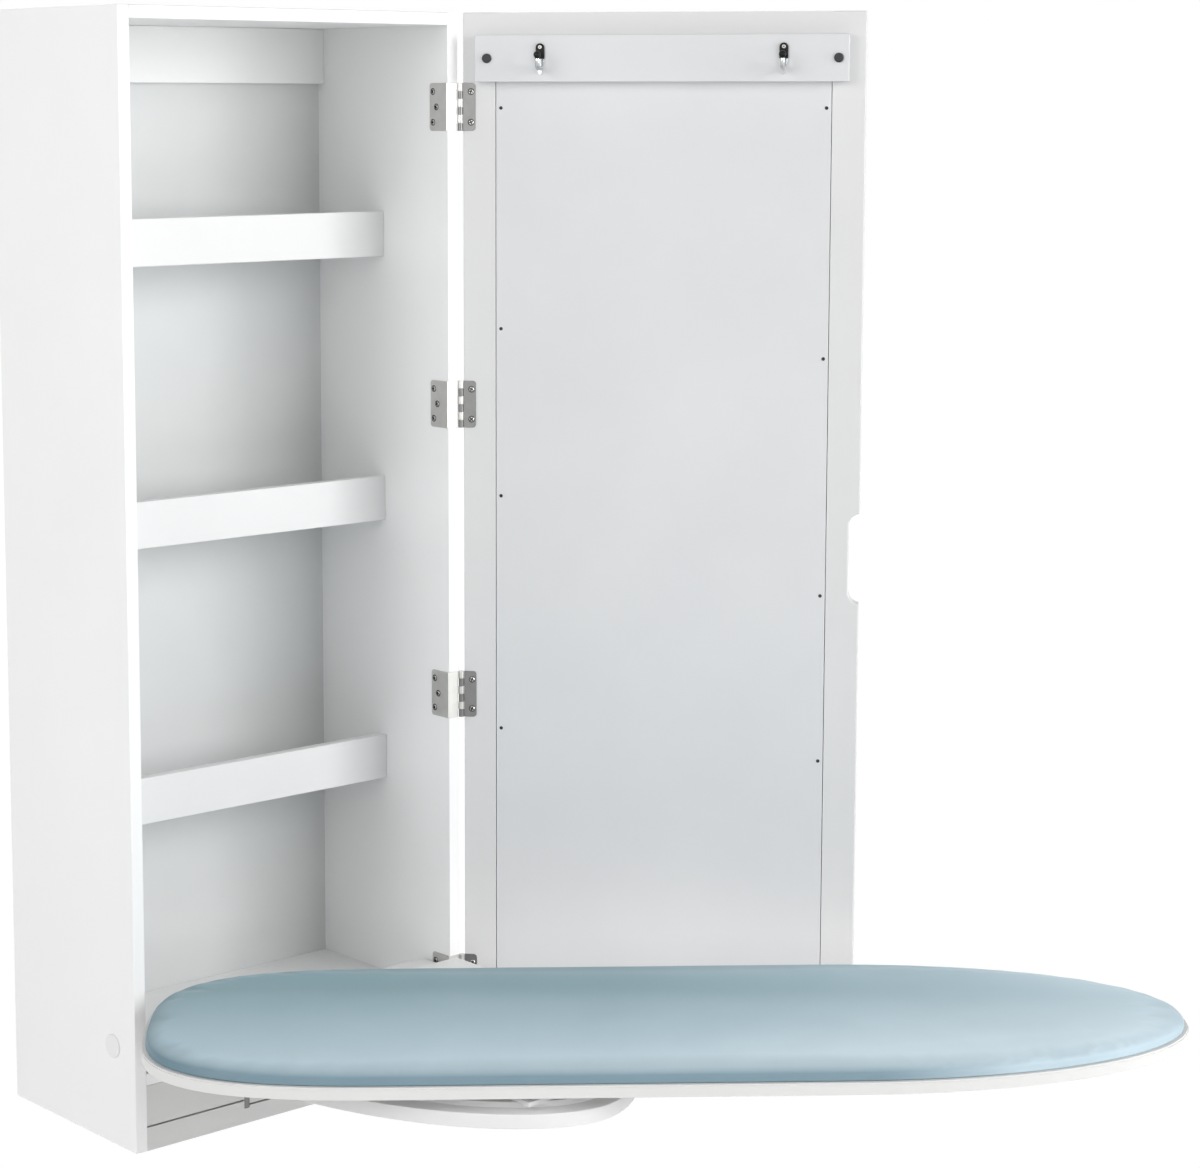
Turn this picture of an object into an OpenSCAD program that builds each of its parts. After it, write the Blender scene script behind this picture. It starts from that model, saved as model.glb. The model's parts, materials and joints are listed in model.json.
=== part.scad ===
// Wall-hung mirrored cabinet with a fold-down, swivelling ironing board.
// Millimetres, +Z up, +Y towards the wall. The origin is the hanger hole
// pattern on the wall plane. All z sizes below count from the cabinet's foot.

/* [Cabinet] */
// outer width
cab_w = 366; // [340:1:420]
// outer height
cab_h = 990; // [980:1:1040]
// outer depth, wall to front edge
cab_d = 198; // [185:1:240]
// side, top and floor panel thickness
panel_t = 11.5; // [10:0.5:14]
// thin back panel
back_t = 3; // [3:0.5:4]
// hanging rail height under the top panel
hang_rail_h = 52; // [40:1:70]
// hanging rail thickness
hang_rail_t = 9.5; // [8:0.5:12]

/* [Shelves] */
// foot of the lowest shelf bar
first_bar_z = 263; // [220:1:300]
// distance from one shelf to the next
shelf_pitch = 251; // [230:1:255]
// shelf bar height
bar_h = 42.5; // [25:0.5:60]
// shelf bar thickness
bar_t = 10; // [8:0.5:14]
// front edge of the cabinet to the face of the bars
bar_set = 94.5; // [94:0.5:105]
// shelf board thickness
shelf_t = 10; // [8:0.5:14]

/* [Foot] */
// top of the deck the leaf rests on
deck_z = 70; // [68:0.5:71]
// deck thickness
deck_t = 11; // [9:0.5:14]
// dark seam between apron and base rail
seam_z = 21; // [18:0.5:26]
// seam height
seam_gap = 1.6; // [0.8:0.2:3]
// middle of the seam sits this much lower
seam_step = 5; // [2:0.5:7]
// centre line to a roller catch
catch_x = 65; // [50:1:100]
// roller catch radius
catch_r = 4.4; // [3:0.1:6]

/* [Fold axle] */
// axle behind the front edge
axle_set = 33.5; // [32:0.5:36]
// axle height
axle_z = 89.3; // [89:0.1:91]
// axle bolt radius
axle_r = 5; // [4:0.5:6]
// cover cap radius
cap_r = 10.5; // [8:0.5:14]
// cover cap height
cap_h = 2.5; // [1.5:0.5:4]
// running clearance on every turning pin
run_gap = 0.06; // [0.03:0.01:0.1]

/* [Support leaf] */
// underside of the leaf
leaf_z = 98; // [97:0.5:99]
// leaf thickness
leaf_t = 12; // [9:0.5:12]
// side panel to the side of the leaf
leaf_side_gap = 3.5; // [3:0.5:20]
// tip of the leaf in front of the cabinet
leaf_reach = 401; // [370:1:420]
// length of the leaf's rounded nose
leaf_nose = 281; // [220:1:300]
// rear edge of the leaf in front of the cabinet
leaf_heel = 14; // [10:1:20]
// hinge block width
block_w = 48; // [30:1:60]
// how far a hinge block runs under the leaf
block_run = 52; // [40:1:70]

/* [Swivel] */
// swivel centre in front of the cabinet
pivot_out = 237.5; // [236:0.5:250]
// board turned to the right of straight out
swivel = 51; // [40:0.5:55]
// raised spacer thickness
spacer_t = 5; // [4:0.5:5]
// spacer edge to leaf edge
spacer_inset = 17; // [10:1:30]
// width of the glide pad in front of the bearing
glide_w = 110; // [80:1:130]
// front edge of the glide pad to the swivel centre
glide_out = 135; // [125:1:140]
// glide pad height
glide_t = 3; // [2:0.5:3]
// bearing plate side
plate_w = 150; // [130:1:170]
// bearing plate thickness
plate_t = 1.6; // [1.2:0.1:2]
// bearing plate corner radius
plate_corner = 12; // [6:1:20]
// bearing height, plate to plate
bearing_h = 9; // [8.6:0.2:9]
// radius of the circle that the balls run on
race_r = 56; // [40:1:58]
// race width
race_w = 10; // [8:0.5:12]
// ball radius
ball_r = 2; // [1.6:0.1:2.2]
// clearance between a ball and its race
ball_gap = 0.25; // [0.2:0.05:0.3]
// swivel bolt radius
bolt_r = 6; // [4:0.5:8]

/* [Board] */
// board length
board_len = 884; // [860:1:886]
// board width
board_w = 295; // [270:1:300]
// heel of the board to the swivel
heel_len = 277; // [260:1:280]
// length of the rounded nose
nose_a = 300; // [240:1:340]
// length of the rounded heel
heel_a = 230; // [180:1:240]
// board panel thickness
board_t = 10; // [8:0.5:10]
// pad height at its crown
pad_t = 13.4; // [10:0.2:14]
// pad edge to board edge
pad_inset = 3; // [2:0.5:8]

/* [Door] */
// opened angle
door_open = 130; // [125:0.5:131]
// door thickness
door_t = 16; // [14:0.5:20]
// closed gap to the cabinet
door_gap = 2; // [1.8:0.1:3]
// stile and rail width
stile_w = 30; // [24:1:45]
// mirror pane thickness
mirror_t = 4; // [3:0.5:5]
// mirror set behind the frame face
mirror_set = 1; // [0.5:0.5:2]
// groove round the backing panel
groove = 0.6; // [0.4:0.1:1]
// finger pull height
pull_h = 84; // [60:1:110]
// finger pull depth
pull_d = 10; // [8:0.5:12]
// finger pull corner radius
pull_r = 12; // [12:0.5:16]
// door hook rail height
hook_rail_h = 42; // [34:1:50]
// door hook rail thickness
hook_rail_t = 12; // [9:0.5:14]
// top of the hook rail below the door's top
hook_rail_drop = 20.5; // [18:0.5:26]
// door edge to a hook
hook_inset = 73; // [55:1:100]
// door edge to a bumper
bumper_inset = 24; // [22:1:30]

/* [Hinges] */
// end hinge centres from the cabinet's foot and top
hinge_z = 85.2; // [80:0.1:88]
// hinge leaf height
hinge_h = 43.5; // [38:0.5:50]
// hinge metal thickness
hinge_t = 1.2; // [1:0.1:1.5]
// knuckle radius
knuckle_r = 2.5; // [2.3:0.1:2.6]
// pin radius
pin_r = 1.2; // [1:0.1:1.5]
// frame leaf depth inside the cabinet
frame_leaf_d = 24.5; // [23:0.5:25]
// corner radius of both hinge leaves
leaf_corner = 3; // [2:0.5:4]
// frame leaf cut back at the door leaf's knuckles
knuckle_relief = 1.4; // [1:0.1:2]

/* [Hidden] */
hang_z = cab_h - 37;
hanger_dx = 240;
hanger_r = 4.5;
hanger_deep = 9;
hinge_count = 4;
hinge_pitch = (cab_h - 2 * hinge_z) / (hinge_count - 1);
front_y = -cab_d;
in_x = cab_w / 2 - panel_t;
leaf_w = 2 * (in_x - leaf_side_gap);
top_z = cab_h - panel_t;
bar_y = front_y + bar_set;
axle_y = front_y + axle_set;
pivot_y = front_y - pivot_out;
spacer_z = leaf_z + leaf_t;
plate_z = spacer_z + spacer_t;
board_z = plate_z + bearing_h;
pad_z = board_z + board_t;
ball_count = 24;
race_gap = 0.6;
race_h = (bearing_h - 2 * plate_t - race_gap) / 2;
screw_hole_r = 2.4;
knuckle_out = knuckle_r + 0.1;
pin_x = cab_w / 2 + knuckle_out;
pin_y = front_y - door_gap / 2;
door_y = front_y - door_gap;
knuckles = 6;
knuckle_gap = 0.3;
knuckle_h = (hinge_h - (knuckles - 1) * knuckle_gap) / knuckles;
fit = 0.05;
white = [0.93, 0.93, 0.93];
grey_white = [0.88, 0.89, 0.9];
nickel = [0.62, 0.61, 0.59];
chrome = [0.8, 0.81, 0.82];
cover = [0.66, 0.77, 0.82];
black = [0.1, 0.1, 0.1];
glass_tone = [0.75, 0.8, 0.82];

// ---- helpers -------------------------------------------------------------

// drops a child from foot-based heights to the row frame
module hung() {
    translate([0, 0, -hang_z])
    children();
}

// box from its low corner to its high corner
module span(lo, hi) {
    translate(lo)
    cube([hi[0] - lo[0], hi[1] - lo[1], hi[2] - lo[2]]);
}

// turns the closed door to its opened place
module door_place() {
    translate([pin_x, pin_y, -hang_z])
    rotate([0, 0, door_open])
    translate([-pin_x, -pin_y, 0])
    children();
}

// puts board-frame geometry (+X to the nose) over the swivel
module board_place() {
    translate([0, pivot_y, -hang_z])
    rotate([0, 0, swivel - 90])
    children();
}

function spow(v, e) = sign(v) * pow(abs(v), e);

// outline of the board, drawn in by g all round
function board_outline(g, n) = concat(
    [for (i = [0:n])
        let (t = -90 + 180 * i / n)
        [board_len - heel_len - nose_a + (nose_a - g) * cos(t),
         (board_w / 2 - g) * sin(t)]],
    [for (i = [0:n])
        let (t = 90 + 180 * i / n)
        [heel_a - heel_len + (heel_a - g) * spow(cos(t), 2 / 3),
         (board_w / 2 - g) * spow(sin(t), 2 / 3)]]
);

// outline of the leaf seen from above, drawn in by g, heel edge at y = h
function leaf_outline(g, h, n) = concat(
    [[-leaf_w / 2 + g, front_y - h]],
    [for (i = [0:n])
        let (t = 180 + 180 * i / n)
        [(leaf_w / 2 - g) * spow(cos(t), 2 / 1.8),
         front_y - leaf_reach + leaf_nose + (leaf_nose - g) * spow(sin(t), 2 / 1.8)]],
    [[leaf_w / 2 - g, front_y - h]]
);

// ---- carcass -------------------------------------------------------------

module side_blank(s) {
    x0 = s > 0 ? in_x : -cab_w / 2;
    span([x0, front_y, 0], [x0 + panel_t, 0, cab_h]);
}

module axle_hole(s) {
    translate([s * (in_x - 1), axle_y, axle_z])
    rotate([0, s * 90, 0])
    cylinder(r = axle_r, h = panel_t + 2, $fn = 48);
}

module left_side() {
    color(white)
    hung()
    difference() {
        side_blank(-1);
        axle_hole(-1);
    }
}

module right_side() {
    color(white)
    hung()
    difference() {
        side_blank(1);
        axle_hole(1);
        for (i = [0:hinge_count - 1])
            translate([in_x - 1, front_y - 1, hinge_z + i * hinge_pitch - hinge_h / 2 - fit])
            cube([panel_t + 2, 1 + hinge_t, hinge_h + 2 * fit]);
    }
}

module top_panel() {
    color(white)
    hung()
    span([-in_x, front_y, top_z], [in_x, 0, cab_h]);
}

module floor_panel() {
    color(white)
    hung()
    span([-in_x, front_y + panel_t, 0], [in_x, 0, panel_t]);
}

// front strip below the seam, lower between the catches
module base_rail() {
    color(white)
    hung()
    difference() {
        span([-in_x, front_y, 0], [in_x, front_y + panel_t, seam_z]);
        span([-catch_x, front_y - 1, seam_z - seam_step],
            [catch_x, front_y + panel_t + 1, seam_z + 1]);
        for (s = [-1, 1])
            catch_pocket(s);
    }
}

// front strip above the seam
module apron() {
    color(white)
    hung()
    difference() {
        union() {
            span([-in_x, front_y, seam_z + seam_gap],
                [in_x, front_y + panel_t, deck_z - deck_t]);
            span([-catch_x, front_y, seam_z + seam_gap - seam_step],
                [catch_x, front_y + panel_t, seam_z + seam_gap + 1]);
        }
        for (s = [-1, 1])
            catch_pocket(s);
        hinge_pocket();
    }
}

// room for the lowest hinge leaf at the foot parts
module hinge_pocket() {
    span([in_x - hinge_t - 1.6, front_y - 1, hinge_z - hinge_h / 2 - 0.5],
        [in_x + 1, front_y + frame_leaf_d + 1, deck_z + 1]);
}

module catch_pocket(s) {
    translate([s * catch_x, front_y + catch_r - 1, seam_z - 7])
    cylinder(r = catch_r, h = 18, $fn = 32);
}

module catch_body(s) {
    color(nickel)
    hung()
    translate([s * catch_x, front_y + catch_r - 1, seam_z - 7])
    cylinder(r = catch_r, h = 18, $fn = 32);
}

module catch_left() {
    catch_body(-1);
}

module catch_right() {
    catch_body(1);
}

module deck() {
    color(white)
    hung()
    difference() {
        span([-in_x, front_y, deck_z - deck_t], [in_x, -back_t, deck_z]);
        hinge_pocket();
    }
}

module hanger_holes(y0, h) {
    for (s = [-1, 1])
        translate([s * hanger_dx / 2, y0, hang_z])
        rotate([90, 0, 0])
        cylinder(r = hanger_r, h = h, $fn = 48);
}

module back_panel() {
    color(grey_white)
    hung()
    difference() {
        span([-in_x, -back_t, panel_t], [in_x, 0, top_z]);
        hanger_holes(1, back_t + 2);
    }
}

module hanging_rail() {
    color(white)
    hung()
    difference() {
        span([-in_x, -back_t - hang_rail_t, top_z - hang_rail_h], [in_x, -back_t, top_z]);
        hanger_holes(0, hanger_deep);
    }
}

// ---- shelves -------------------------------------------------------------

module shelf_body(i) {
    color(white)
    hung()
    translate([0, 0, first_bar_z + i * shelf_pitch])
    span([-in_x, bar_y + bar_t, 0], [in_x, -back_t, shelf_t]);
}

module bar_body(i) {
    color(white)
    hung()
    translate([0, 0, first_bar_z + i * shelf_pitch])
    span([-in_x, bar_y, 0], [in_x, bar_y + bar_t, bar_h]);
}

module shelf_1() {
    shelf_body(0);
}

module shelf_2() {
    shelf_body(1);
}

module shelf_3() {
    shelf_body(2);
}

module shelf_bar_1() {
    bar_body(0);
}

module shelf_bar_2() {
    bar_body(1);
}

module shelf_bar_3() {
    bar_body(2);
}

// ---- fold axle -----------------------------------------------------------

module axle_body(s) {
    color(nickel)
    hung()
    translate([s * (in_x - block_w - 3), axle_y, axle_z])
    rotate([0, s * 90, 0])
    cylinder(r = axle_r, h = block_w + 3 + panel_t, $fn = 48);
}

module axle_left() {
    axle_body(-1);
}

module axle_right() {
    axle_body(1);
}

module axle_cap(s) {
    color(white)
    hung()
    translate([s * cab_w / 2, axle_y, axle_z])
    rotate([0, s * 90, 0]) {
        cylinder(r = cap_r, h = cap_h - 0.8, $fn = 48);
        translate([0, 0, cap_h - 0.8])
        cylinder(r1 = cap_r, r2 = cap_r - 1.4, h = 0.8, $fn = 48);
    }
}

module axle_cap_left() {
    axle_cap(-1);
}

module axle_cap_right() {
    axle_cap(1);
}

// ---- butt hinges ---------------------------------------------------------

function knuckle_z(k) = k * (knuckle_h + knuckle_gap) - hinge_h / 2;

module knuckle_tube(first) {
    for (k = [first:2:knuckles - 1])
        translate([pin_x, pin_y, knuckle_z(k)])
        cylinder(r = knuckle_r, h = knuckle_h, $fn = 24);
}

// plate in x and z, square at x = 0, round at the two far corners
module leaf_plate(len, thick) {
    cube_len = len - leaf_corner;
    translate([0, 0, -hinge_h / 2])
    cube([cube_len, thick, hinge_h]);
    translate([0, 0, leaf_corner - hinge_h / 2])
    cube([len, thick, hinge_h - 2 * leaf_corner]);
    for (s = [-1, 1])
        translate([cube_len, 0, s * (hinge_h / 2 - leaf_corner)])
        rotate([-90, 0, 0])
        cylinder(r = leaf_corner, h = thick, $fn = 32);
}

// wraps the side panel: inner plate, front strip, upper knuckle of each pair
module frame_leaf(i) {
    color(nickel)
    hung()
    translate([0, 0, hinge_z + i * hinge_pitch])
    difference() {
        union() {
            translate([in_x, front_y, 0])
            rotate([0, 0, 90])
            leaf_plate(frame_leaf_d, hinge_t);
            span([in_x - hinge_t, front_y, -hinge_h / 2],
                [cab_w / 2 - knuckle_relief, front_y + hinge_t, hinge_h / 2]);
            for (k = [1:2:knuckles - 1])
                translate([cab_w / 2 - knuckle_relief - 1, front_y, knuckle_z(k)])
                cube([knuckle_out + knuckle_relief + 1, hinge_t, knuckle_h]);
            knuckle_tube(1);
        }
        translate([pin_x, pin_y, -hinge_h])
        cylinder(r = pin_r, h = 2 * hinge_h, $fn = 24);
    }
}

module frame_leaf_1() {
    frame_leaf(0);
}

module frame_leaf_2() {
    frame_leaf(1);
}

module frame_leaf_3() {
    frame_leaf(2);
}

module frame_leaf_4() {
    frame_leaf(3);
}

module hinge_pin(i) {
    color(nickel)
    hung()
    translate([pin_x, pin_y, hinge_z + i * hinge_pitch - hinge_h / 2])
    cylinder(r = pin_r, h = hinge_h, $fn = 24);
}

module hinge_pin_1() {
    hinge_pin(0);
}

module hinge_pin_2() {
    hinge_pin(1);
}

module hinge_pin_3() {
    hinge_pin(2);
}

module hinge_pin_4() {
    hinge_pin(3);
}

// three staggered heads on every frame leaf
module frame_hinge_screws() {
    color(nickel)
    hung()
    for (i = [0:hinge_count - 1], k = [-1:1])
        translate([in_x - hinge_t, front_y + frame_leaf_d * (k == 0 ? 0.6 : 0.8),
            hinge_z + i * hinge_pitch + k * hinge_h * 0.32])
        rotate([0, -90, 0])
        cylinder(r1 = 2.6, r2 = 1.8, h = 0.7, $fn = 20);
}

// flat leaf on the door's inner face with the inner knuckles
module door_leaf(i) {
    color(nickel)
    door_place()
    translate([0, 0, hinge_z + i * hinge_pitch])
    difference() {
        union() {
            translate([cab_w / 2, door_y + 0.8, 0])
            rotate([0, 0, 180])
            leaf_plate(stile_w * 0.38, 0.8);
            for (k = [0:2:knuckles - 1])
                translate([cab_w / 2 - 2, door_y, knuckle_z(k)])
                cube([knuckle_out + 2, 0.8, knuckle_h]);
            knuckle_tube(0);
        }
        translate([pin_x, pin_y, -hinge_h])
        cylinder(r = pin_r + run_gap, h = 2 * hinge_h, $fn = 24);
    }
}

module door_leaf_1() {
    door_leaf(0);
}

module door_leaf_2() {
    door_leaf(1);
}

module door_leaf_3() {
    door_leaf(2);
}

module door_leaf_4() {
    door_leaf(3);
}

// two heads on every door leaf
module door_hinge_screws() {
    color(nickel)
    door_place()
    for (i = [0:hinge_count - 1], k = [-1, 1])
        translate([cab_w / 2 - stile_w * 0.25, door_y + 0.8,
            hinge_z + i * hinge_pitch + k * hinge_h * 0.32])
        rotate([-90, 0, 0])
        cylinder(r1 = 2.6, r2 = 1.8, h = 0.5, $fn = 20);
}

// ---- door ----------------------------------------------------------------

module hinge_stile() {
    color(white)
    door_place()
    span([cab_w / 2 - stile_w, door_y - door_t, 0], [cab_w / 2, door_y, cab_h]);
}

// stile on the free edge with the finger pull cut through it
module pull_stile() {
    color(white)
    door_place()
    difference() {
        span([-cab_w / 2, door_y - door_t, 0], [-cab_w / 2 + stile_w, door_y, cab_h]);
        translate([-cab_w / 2, door_y + 1, cab_h / 2])
        rotate([90, 0, 0])
        pull_slot(door_t + 2);
    }
}

// slot open to the door's edge, with two round corners
module pull_slot(deep) {
    reach = pull_h / 2 - pull_r;
    translate([-pull_r, -reach, 0])
    cube([pull_r + pull_d, 2 * reach, deep]);
    for (s = [-1, 1])
        translate([pull_d - pull_r, s * reach, 0])
        cylinder(r = pull_r, h = deep, $fn = 64);
}

module cross_rail(z) {
    color(white)
    door_place()
    span([-cab_w / 2 + stile_w, door_y - door_t, z],
        [cab_w / 2 - stile_w, door_y, z + stile_w]);
}

module door_rail_top() {
    cross_rail(cab_h - stile_w);
}

module door_rail_foot() {
    cross_rail(0);
}

// panel behind the mirror; the narrow groove shows round it
module door_backing() {
    color(grey_white)
    door_place() {
        span([-cab_w / 2 + stile_w + groove, door_y - door_t + mirror_set + mirror_t, stile_w],
            [cab_w / 2 - stile_w - groove, door_y, cab_h - stile_w]);
    }
}

module mirror_pane() {
    color(glass_tone)
    door_place()
    span([-cab_w / 2 + stile_w, door_y - door_t + mirror_set, stile_w],
        [cab_w / 2 - stile_w, door_y - door_t + mirror_set + mirror_t, cab_h - stile_w]);
}

// small heads that hold the backing, unevenly spaced as on the real door
module backing_screws() {
    left_rows = [0.09, 0.33, 0.552, 0.709, 0.913];
    right_rows = [0.09, 0.309, 0.465, 0.685, 0.913];
    color(black)
    door_place() {
        for (r = left_rows)
            backing_screw(cab_w / 2 - stile_w - 5, r * cab_h);
        for (r = right_rows)
            backing_screw(-cab_w / 2 + stile_w + 5, r * cab_h);
    }
}

module backing_screw(x, z) {
    translate([x, door_y, z])
    rotate([-90, 0, 0])
    cylinder(r1 = 1.9, r2 = 1.3, h = 0.5, $fn = 16);
}

module hook_rail() {
    color(white)
    door_place()
    span([-cab_w / 2 + panel_t + 3.5, door_y, cab_h - hook_rail_drop - hook_rail_h],
        [cab_w / 2 - panel_t - 1.5, door_y + hook_rail_t, cab_h - hook_rail_drop]);
}

module bumper(s) {
    color(black)
    door_place()
    translate([s * (cab_w / 2 - bumper_inset), door_y + hook_rail_t,
        cab_h - hook_rail_drop - hook_rail_h / 2])
    rotate([-90, 0, 0]) {
        cylinder(r = 4.3, h = 1.4, $fn = 32);
        translate([0, 0, 1.4])
        cylinder(r1 = 4.3, r2 = 3.1, h = 0.9, $fn = 32);
    }
}

module bumper_left() {
    bumper(1);
}

module bumper_right() {
    bumper(-1);
}

// round-topped plate with a tapered foot and an arm that turns up
module hook_body(s) {
    plate_r = 3.9;
    blade_t = 1.6;
    foot_r = 1.45;
    arm_r = 2.1;
    arm_out = 10;
    bend_r = 7;
    color(chrome)
    door_place()
    translate([s * (cab_w / 2 - hook_inset), door_y + hook_rail_t,
        cab_h - hook_rail_drop - hook_rail_h / 2]) {
        rotate([-90, 0, 0]) {
            linear_extrude(blade_t)
            polygon([
                [-plate_r, -9.5], [plate_r, -9.5], [plate_r, 2],
                [1.4, 13.4], [-1.4, 13.4], [-plate_r, 2]
            ]);
            translate([0, -9.5, 0])
            cylinder(r = plate_r, h = blade_t, $fn = 40);
            translate([0, 13, 0])
            cylinder(r = foot_r, h = blade_t, $fn = 24);
        }
        translate([0, 1, -9])
        rotate([-90, 0, 0])
        cylinder(r = arm_r, h = arm_out, $fn = 20);
        translate([0, 1 + arm_out, -9 + bend_r])
        rotate([0, 90, 0])
        rotate_extrude(angle = 90, $fn = 40)
        translate([bend_r, 0])
        circle(r = arm_r, $fn = 20);
        translate([0, 1 + arm_out + bend_r, -9 + bend_r])
        cylinder(r = arm_r, h = 5, $fn = 20);
        translate([0, 1 + arm_out + bend_r, -4 + bend_r])
        sphere(r = arm_r + 1.2, $fn = 20);
    }
}

module hook_left() {
    hook_body(1);
}

module hook_right() {
    hook_body(-1);
}

// ---- support leaf --------------------------------------------------------

module support_leaf() {
    color(white)
    hung()
    translate([0, 0, leaf_z])
    difference() {
        linear_extrude(leaf_t)
        polygon(leaf_outline(0, leaf_heel, 48));
        translate([0, pivot_y, -1])
        cylinder(r = bolt_r, h = leaf_t + 2, $fn = 48);
    }
}

// carries the leaf on the axle and lies on the deck
module hinge_block(s) {
    rest_gap = 0.3;
    color(white)
    hung()
    translate([s > 0 ? leaf_w / 2 - block_w : -leaf_w / 2, axle_y, axle_z])
    rotate([90, 0, 90])
    difference() {
        linear_extrude(block_w)
        union() {
            translate([-axle_set - block_run, deck_z + rest_gap - axle_z])
            square([axle_set + block_run, leaf_z - deck_z - rest_gap]);
            circle(r = leaf_z - axle_z, $fn = 48);
            polygon([
                [0, deck_z + rest_gap - axle_z],
                [6.5, deck_z + rest_gap - axle_z + 1.2],
                [leaf_z - axle_z, 0],
                [0, 0]
            ]);
        }
        translate([0, 0, -1])
        cylinder(r = axle_r + run_gap, h = block_w + 2, $fn = 48);
    }
}

module hinge_block_left() {
    hinge_block(-1);
}

module hinge_block_right() {
    hinge_block(1);
}

// raised field of the leaf, with the glide pad standing out over its front
module leaf_spacer() {
    color(white)
    hung()
    translate([0, 0, spacer_z])
    difference() {
        union() {
            linear_extrude(spacer_t)
            polygon(leaf_outline(spacer_inset, leaf_heel + 3 * spacer_inset, 40));
            translate([0, pivot_y, 0])
            span([-glide_w / 2, -glide_out, spacer_t - 1],
                [glide_w / 2, -plate_w / 2 - 2, spacer_t + glide_t]);
        }
        translate([0, pivot_y, -1])
        cylinder(r = bolt_r, h = spacer_t + 2, $fn = 48);
    }
}

// square plate with round corners, a centre bore and four screw holes
module bearing_plate(hole) {
    side = plate_w - 2 * plate_corner;
    difference() {
        union() {
            translate([-plate_w / 2, -side / 2, 0])
            cube([plate_w, side, plate_t]);
            translate([-side / 2, -plate_w / 2, 0])
            cube([side, plate_w, plate_t]);
            for (x = [-side / 2, side / 2], y = [-side / 2, side / 2])
                translate([x, y, 0])
                cylinder(r = plate_corner, h = plate_t, $fn = 48);
        }
        for (x = [-side / 2, side / 2], y = [-side / 2, side / 2])
            translate([x, y, -1])
            cylinder(r = screw_hole_r, h = plate_t + 2, $fn = 24);
        translate([0, 0, -1])
        cylinder(r = hole, h = plate_t + 2, $fn = 48);
    }
}

// half of the ball race, grooved on top
module race_half() {
    rotate_extrude($fn = 96)
    difference() {
        translate([race_r - race_w / 2, 0])
        square([race_w, race_h]);
        translate([race_r, race_h + race_gap / 2])
        circle(r = ball_r + ball_gap, $fn = 32);
    }
}

module bearing_lower() {
    color(nickel)
    hung()
    translate([0, pivot_y, plate_z])
    bearing_plate(bolt_r);
}

module race_lower() {
    color(nickel)
    hung()
    translate([0, pivot_y, plate_z + plate_t])
    race_half();
}

module bearing_balls() {
    color(chrome)
    hung()
    translate([0, pivot_y, plate_z + bearing_h / 2])
    for (i = [0:ball_count - 1])
        rotate([0, 0, i * 360 / ball_count])
        translate([race_r, 0, 0])
        sphere(r = ball_r, $fn = 24);
}

module swivel_bolt() {
    color(nickel)
    hung()
    translate([0, pivot_y, leaf_z]) {
        translate([0, 0, -4])
        cylinder(r = bolt_r + 5, h = 4, $fn = 48);
        cylinder(r = bolt_r, h = board_z - leaf_z + board_t - 2.5, $fn = 48);
    }
}

// ---- board ---------------------------------------------------------------

module bearing_upper() {
    color(nickel)
    board_place()
    translate([0, 0, board_z - plate_t])
    bearing_plate(bolt_r + run_gap);
}

module race_upper() {
    color(nickel)
    board_place()
    translate([0, 0, board_z - plate_t])
    mirror([0, 0, 1])
    race_half();
}

module board_panel() {
    color(white)
    board_place()
    translate([0, 0, board_z])
    difference() {
        union() {
            linear_extrude(board_t - 1.5)
            polygon(board_outline(0, 40));
            translate([0, 0, board_t - 1.5])
            linear_extrude(1.5)
            polygon(board_outline(0.8, 40));
        }
        translate([0, 0, -1])
        cylinder(r = bolt_r + run_gap, h = board_t - 1, $fn = 48);
    }
}

// foam pad under a tight cover: crowned top, rounded and drawn-in edge
module board_pad() {
    layers = [
        [0, 2.2], [1.5, 0.7], [4.5, 0], [8, 0.9],
        [10.4, 3.4], [11.8, 8], [12.6, 20], [13, 45]
    ];
    k = pad_t / 13.4;
    color(cover)
    board_place()
    translate([0, 0, pad_z])
    hull() {
        for (l = layers)
            translate([0, 0, l[0] * k])
            linear_extrude(0.02)
            polygon(board_outline(pad_inset + l[1], 36));
        translate([0, 0, pad_t - 0.05])
        linear_extrude(0.05)
        polygon(board_outline(pad_inset + 85, 20));
    }
}

left_side();
right_side();
top_panel();
floor_panel();
base_rail();
apron();
deck();
back_panel();
hanging_rail();
shelf_1();
shelf_2();
shelf_3();
shelf_bar_1();
shelf_bar_2();
shelf_bar_3();
catch_left();
catch_right();
axle_left();
axle_right();
axle_cap_left();
axle_cap_right();
frame_leaf_1();
frame_leaf_2();
frame_leaf_3();
frame_leaf_4();
hinge_pin_1();
hinge_pin_2();
hinge_pin_3();
hinge_pin_4();
frame_hinge_screws();
door_leaf_1();
door_leaf_2();
door_leaf_3();
door_leaf_4();
door_hinge_screws();
hinge_stile();
pull_stile();
door_rail_top();
door_rail_foot();
door_backing();
mirror_pane();
backing_screws();
hook_rail();
bumper_left();
bumper_right();
hook_left();
hook_right();
support_leaf();
hinge_block_left();
hinge_block_right();
leaf_spacer();
bearing_lower();
race_lower();
bearing_balls();
swivel_bolt();
bearing_upper();
race_upper();
board_panel();
board_pad();
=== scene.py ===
"""Dresses the wall cabinet with its mirror door and fold-down ironing board.

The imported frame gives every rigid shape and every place. This script eases the
edges, finishes the surfaces, makes the padded cover and sets the photo studio.
All lengths are metres unless a name ends in _mm.
"""

import json
import logging
import math
from dataclasses import dataclass, field
from enum import Enum
from typing import Any, Callable

import bmesh
import bpy
from mathutils import Matrix, Vector, noise


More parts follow.
